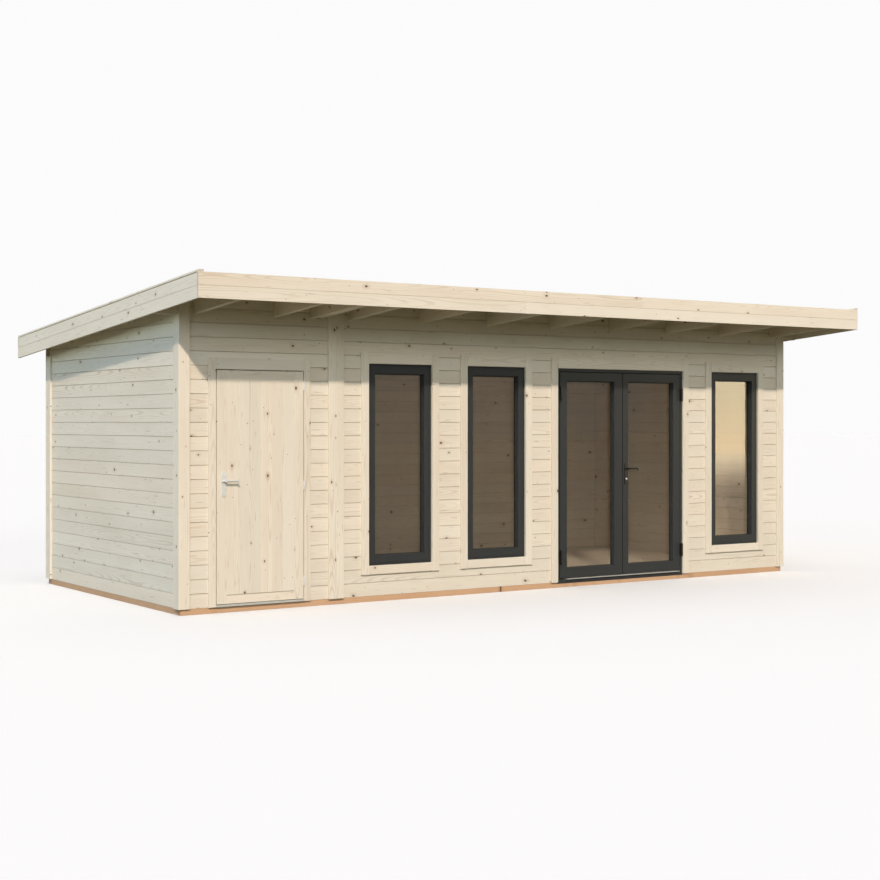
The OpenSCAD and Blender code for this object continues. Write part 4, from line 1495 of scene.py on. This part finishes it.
@dataclass
class StoreDoor:
    """The boarded store door with its frame."""

    plan: Plan = PLAN
    left: float = -3.0315
    right: float = -2.2485
    thick: float = 0.040
    bottom: float = 0.072
    top: float = 1.944
    stile: float = 0.086
    rail: float = 0.072
    step: float = 0.008
    boards: int = 6
    stop: float = 0.015
    stop_gap: float = 0.005

    def leaf(self, f: Finishes) -> None:
        """Makes the leaf: two stiles, a bottom and a top rail, and upright boards between.

        Args:
            f: the finishes.
        """
        face = self.plan.y_front - self.plan.casing_t
        back = face + self.thick
        mesh = TimberMesh("store_leaf_boards", 61)
        for k, x in enumerate((self.left, self.right - self.stile)):
            mesh.box((x, face, self.bottom), (x + self.stile, back, self.top), Axis.Z, ("stile", k), 0.0015)
        x0, x1 = self.left + self.stile, self.right - self.stile
        low, high, groove = self.bottom, self.bottom + self.rail, face + self.step
        edge = high - self.step
        # painted shade at the bottom of the groove along the rail's top
        rail = [(face, low), (back, low), (back, high), (groove, high), (groove, edge), (face, edge)]
        mesh.prism(rail, Axis.X, x0, x1, "rail", shade=[float(y == groove) for y, _ in rail])
        mesh.box((x0, face, self.top - self.stile), (x1, back, self.top), Axis.X, "head", 0.0015)
        width = (x1 - x0) / self.boards
        for i in range(self.boards):
            a = x0 + i * width
            mesh.box((a, face, high), (a + width, back, self.top - self.stile), Axis.Z, ("board", i), 0.001)
        mesh.build(f.spruce, "store_door_leaf", body=Body.STORE_LEAF)

    def frame(self, f: Finishes, walls: LogWalls) -> None:
        """Makes jambs, head and stops.

        Args:
            f: the finishes.
            walls: the log walls, for their openings.
        """
        p = self.plan
        mesh = TimberMesh("store_frame", 62)
        l, r = Base.store_l, Base.store_r
        jamb, stop = walls.store_jamb, self.stop
        face, back = p.y_front, p.y_front + p.log_t + p.casing_t
        stop_y = p.y_front - p.casing_t + self.thick + self.stop_gap
        head = p.z_base + walls.store_clear_h
        for side, x in ((1, l), (-1, r)):
            a, b = sorted((x, x + side * jamb))
            mesh.box((a, face, p.z_base), (b, back, head), Axis.Z, ("jamb", side), 0.001)
            a, b = sorted((x + side * jamb, x + side * (jamb + stop)))
            mesh.box((a, stop_y, p.z_base), (b, back, head), Axis.Z, ("jamb", side), 0.001)
        mesh.box((l, face, head), (r, back, p.z_head), Axis.X, "head", 0.001)
        mesh.box((l + jamb + stop, stop_y, head - stop), (r - jamb - stop, back, head), Axis.X, "head", 0.001)
        mesh.build(f.spruce, "store_door_jambs", "store_door_head")

    def build(self, f: Finishes, walls: LogWalls) -> None:
        """Makes the door and dresses its ironwork.

        Args:
            f: the finishes.
            walls: the log walls, for their openings.
        """
        self.leaf(f)
        self.frame(f, walls)
        for node in ("store_hinge_pins", "store_hinge_flags", "store_lever_plate", "store_lever"):
            dress(node, f.silver)


@dataclass
class DoubleDoor:
    """The glazed double door."""

    plan: Plan = PLAN
    thick: float = 0.068
    glass_set: float = 0.048
    grip: float = 0.0115
    shade_strip_h: float = 0.014

    def leaf(self, node: str, glass: str, body: Body, f: Finishes) -> None:
        """Makes one leaf around its glass.

        Args:
            node: the CAD node of the leaf.
            glass: the CAD node of its glass.
            body: the body that it rides on.
            f: the finishes.
        """
        low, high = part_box(node)
        g_low, g_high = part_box(glass)
        gl, gr = g_low[0] + self.grip, g_high[0] - self.grip
        gb, gt = g_low[2] + self.grip, g_high[2] - self.grip
        widths = (gl - low[0], high[0] - gr, gb - low[2], high[2] - gt)
        front, back = GLAZING.pocket(self.glass_set)
        section = [
            (0.0, 0.002), (0.02, 0.0), (0.955, 0.0), (1.0, 0.004), (1.0, front),
            (0.87, front), (0.87, back), (1.0, back), (1.0, self.thick), (0.07, self.thick),
        ]
        frames = RingMesh(node + "_rails")
        frames.sweep((low[0], high[0], low[2], high[2]), section, widths, low[1])
        frames.build(f.paint, node, body=body)
        seals = RingMesh(node + "_gasket")
        GLAZING.seal(seals, (gl, gr, gb, gt), low[1] + self.glass_set)
        seals.build(f.gasket, body=body)
        dress(glass, f.glass)

    def shade_strip(self, f: Finishes) -> None:
        """Makes a dark strip that hangs from the cill in front of the bearer: painted shade that stands in
        for the shadow under the door's nosing.

        Args:
            f: the finishes.
        """
        low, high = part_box("double_door_jambs")
        face, top = self.plan.y_front, self.plan.z_base
        # a dark painted strip: painted shade under the cill
        mesh = TimberMesh("cill_shade_strip", 71)
        corner = (high[0], face + 0.0028, top + 0.010)
        mesh.box((low[0], face - 0.002, top - self.shade_strip_h), corner, Axis.X, None, 0.001)
        mesh.build(f.paint)

    def build(self, f: Finishes) -> None:
        """Makes both leaves and dresses frame and ironwork.

        Args:
            f: the finishes.
        """
        self.shade_strip(f)
        self.leaf("left_leaf", "left_leaf_glass", Body.LEFT_DOOR, f)
        self.leaf("right_leaf", "right_leaf_glass", Body.RIGHT_DOOR, f)
        for node in ("double_door_jambs", "double_door_head"):
            dress(node, f.paint.material)
        for node in ("double_hinge_pins", "left_leaf_hinges", "right_leaf_hinges"):
            dress(node, f.black)
        for node in ("double_lever_plate", "double_lever"):
            dress(node, f.black)
        dress("lock_cylinder", f.silver)
        dress("door_thresholds", f.sill)


# ------------------------------------------------------------------ studio


@dataclass
class Studio:
    """Floor, light and camera."""

    eye: tuple[float, float, float] = (-8.468, -12.501, 1.5255)
    ahead: tuple[float, float] = (0.5572, 0.8304)
    lens: float = 63.63
    shift_y: float = -0.02
    sun_along: tuple[float, float, float] = (0.417, 0.731, -0.540)
    sun_strength: float = 2.42
    sun_angle: float = 2.0
    sun_colour: RGB = (1.0, 0.864, 0.751)
    sky: float = 3.4
    sky_front: Stops = (
        (0.0, (0.05, 0.05, 0.05)), (0.11, (0.05, 0.05, 0.05)), (0.16, (0.54, 0.53, 0.49)),
        (0.41, (0.57, 0.58, 0.59)), (0.46, (0.02, 0.02, 0.02)), (0.78, (0.02, 0.02, 0.02)),
        (0.92, (0.27, 0.27, 0.27)),
    )
    sky_left: Stops = (
        (0.0, (0.68, 0.82, 0.72)), (0.12, (0.68, 0.82, 0.74)), (0.16, (0.43, 0.54, 0.68)),
        (0.26, (0.37, 0.47, 0.65)), (0.31, (0.13, 0.21, 0.40)), (0.46, (0.02, 0.08, 0.17)),
        (0.78, (0.02, 0.04, 0.06)), (0.92, (0.27, 0.27, 0.27)),
    )
    sky_rest: Stops = (
        (0.0, (0.13, 0.13, 0.13)), (0.78, (0.13, 0.13, 0.13)), (0.92, (0.27, 0.27, 0.27)),
    )
    backdrop: RGB = (0.97, 0.97, 0.97)
    blend: float = 0.06
    panel_at: Point = (9.676, -8.275)
    panel_along: Point = (0.7138, 0.7003)
    panel_w: Point = (-1.3, 1.4)
    panel_low: float = 0.3
    panel_top: float = 2.7
    panel_strength: float = 13.0
    panel_glow: Stops = (
        (0.15, (0.80, 0.66, 0.45)), (0.35, (0.92, 0.74, 0.47)),
        (0.42, (1.0, 0.76, 0.44)), (0.78, (0.90, 0.75, 0.47)),
    )
    floor_size: float = 150.0
    floor_pale: RGB = (0.90, 0.91, 0.92)
    floor_glow: RGB = (1.0, 1.0, 0.995)
    floor_lift: float = 0.105
    floor_dim: RGB = (0.118, 0.114, 0.075)

    def camera(self) -> None:
        """Sets the camera at the viewing angle."""
        data = bpy.data.cameras.new("camera")
        data.lens, data.sensor_width, data.shift_y = self.lens, 36.0, self.shift_y
        data.clip_end = 400.0
        made = link("camera", data)
        made.location = self.eye
        made.rotation_euler = Vector((*self.ahead, 0.0)).to_track_quat("-Z", "Y").to_euler()
        bpy.context.scene.camera = made

    def sun(self) -> None:
        """Adds the soft warm key light."""
        data = bpy.data.lights.new("key", "SUN")
        data.energy, data.angle, data.color = self.sun_strength, math.radians(self.sun_angle), self.sun_colour
        link("key", data).rotation_euler = Vector(self.sun_along).to_track_quat("-Z", "Y").to_euler()

    def light(self) -> None:
        """Adds a sky with a broad low light in front and a cooler one at the left, and a plain backdrop."""
        world = bpy.data.worlds.new("studio")
        bpy.context.scene.world = world
        g = Graph("studio", world)
        x, y, z = g.parts(g.take("ShaderNodeTexCoord", output="Generated"))
        front = g.fall(y + x.step("ABSOLUTE"), -self.blend, self.blend)
        left = g.fall(x + y.step("ABSOLUTE"), -self.blend, self.blend)
        around = g.mix(left, g.ramp(z, self.sky_rest), g.ramp(z, self.sky_left))
        around = g.mix(front, around, g.ramp(z, self.sky_front))
        even = g.take("ShaderNodeBackground", {0: around, 1: self.sky})
        seen = g.take("ShaderNodeBackground", {0: (*self.backdrop, 1.0), 1: 1.0})
        g.finish(g.shader_mix(g.seen(), even, seen))

    def panel(self) -> None:
        """Stands a warm light panel with soft edges at the right, which only the glass and metal mirror."""
        g = Graph("panel")
        x, y, z = g.parts(g.object_place())
        (at_x, at_y), (ux, uy) = self.panel_at, self.panel_along
        from_x = (x - at_x) * ux
        place = (y - at_y).scaled(uy, from_x)
        across = g.smooth(place, -1.15, -0.35) * g.fall(place, 0.85, 1.35)
        up = g.smooth(z, 0.35, 1.15) * g.fall(z, 2.3, 2.65)
        colour = g.ramp(z / self.panel_top, self.panel_glow)
        glow = g.take("ShaderNodeEmission", {"Color": colour, "Strength": across * up * self.panel_strength})
        (x0, y0), (x1, y1) = ((at_x + u * ux, at_y + u * uy) for u in self.panel_w)
        low, top = self.panel_low, self.panel_top
        corners = [(x0, y0, low), (x1, y1, low), (x1, y1, top), (x0, y0, top)]
        made = solid("panel", corners, [(0, 1, 2, 3)], g.finish(glow))
        made.visible_camera = made.visible_diffuse = made.visible_transmission = False
        made.visible_shadow = made.visible_volume_scatter = False

    def floor(self) -> None:
        """Lays a wide pale floor that shows the cabin's shadow, and lights and mirrors as a dim one."""
        g = Graph("floor")
        pale = g.take("ShaderNodeBsdfDiffuse", {"Color": (*self.floor_pale, 1.0)})
        glow = g.take("ShaderNodeEmission", {"Color": (*self.floor_glow, 1.0), "Strength": self.floor_lift})
        seen = g.take("ShaderNodeAddShader", {0: pale, 1: glow})
        dim = g.take("ShaderNodeBsdfDiffuse", {"Color": (*self.floor_dim, 1.0)})
        size = self.floor_size
        corners = [(-size, -size, 0), (size, -size, 0), (size, size, 0), (-size, size, 0)]
        material = g.finish(g.shader_mix(g.seen(), dim, seen))
        solid("floor", corners, [(0, 1, 2, 3)], material)

    def build(self) -> None:
        """Sets floor, lights, panel and camera."""
        bpy.context.scene.view_settings.view_transform = "Standard"
        self.floor()
        self.sun()
        self.light()
        self.panel()
        self.camera()


def main() -> None:
    """Builds every sub-assembly in order."""
    logging.basicConfig(level=logging.INFO, format="%(message)s")
    finishes = Finishes()
    walls = LogWalls()
    walls.build(finishes)
    Base().build(finishes)
    Roof().build(finishes)
    Covers().build(finishes)
    Casings().build(finishes, walls)
    Windows().build(finishes, walls)
    StoreDoor().build(finishes, walls)
    DoubleDoor().build(finishes)
    Studio().build()


if __name__ == "__main__":
    main()
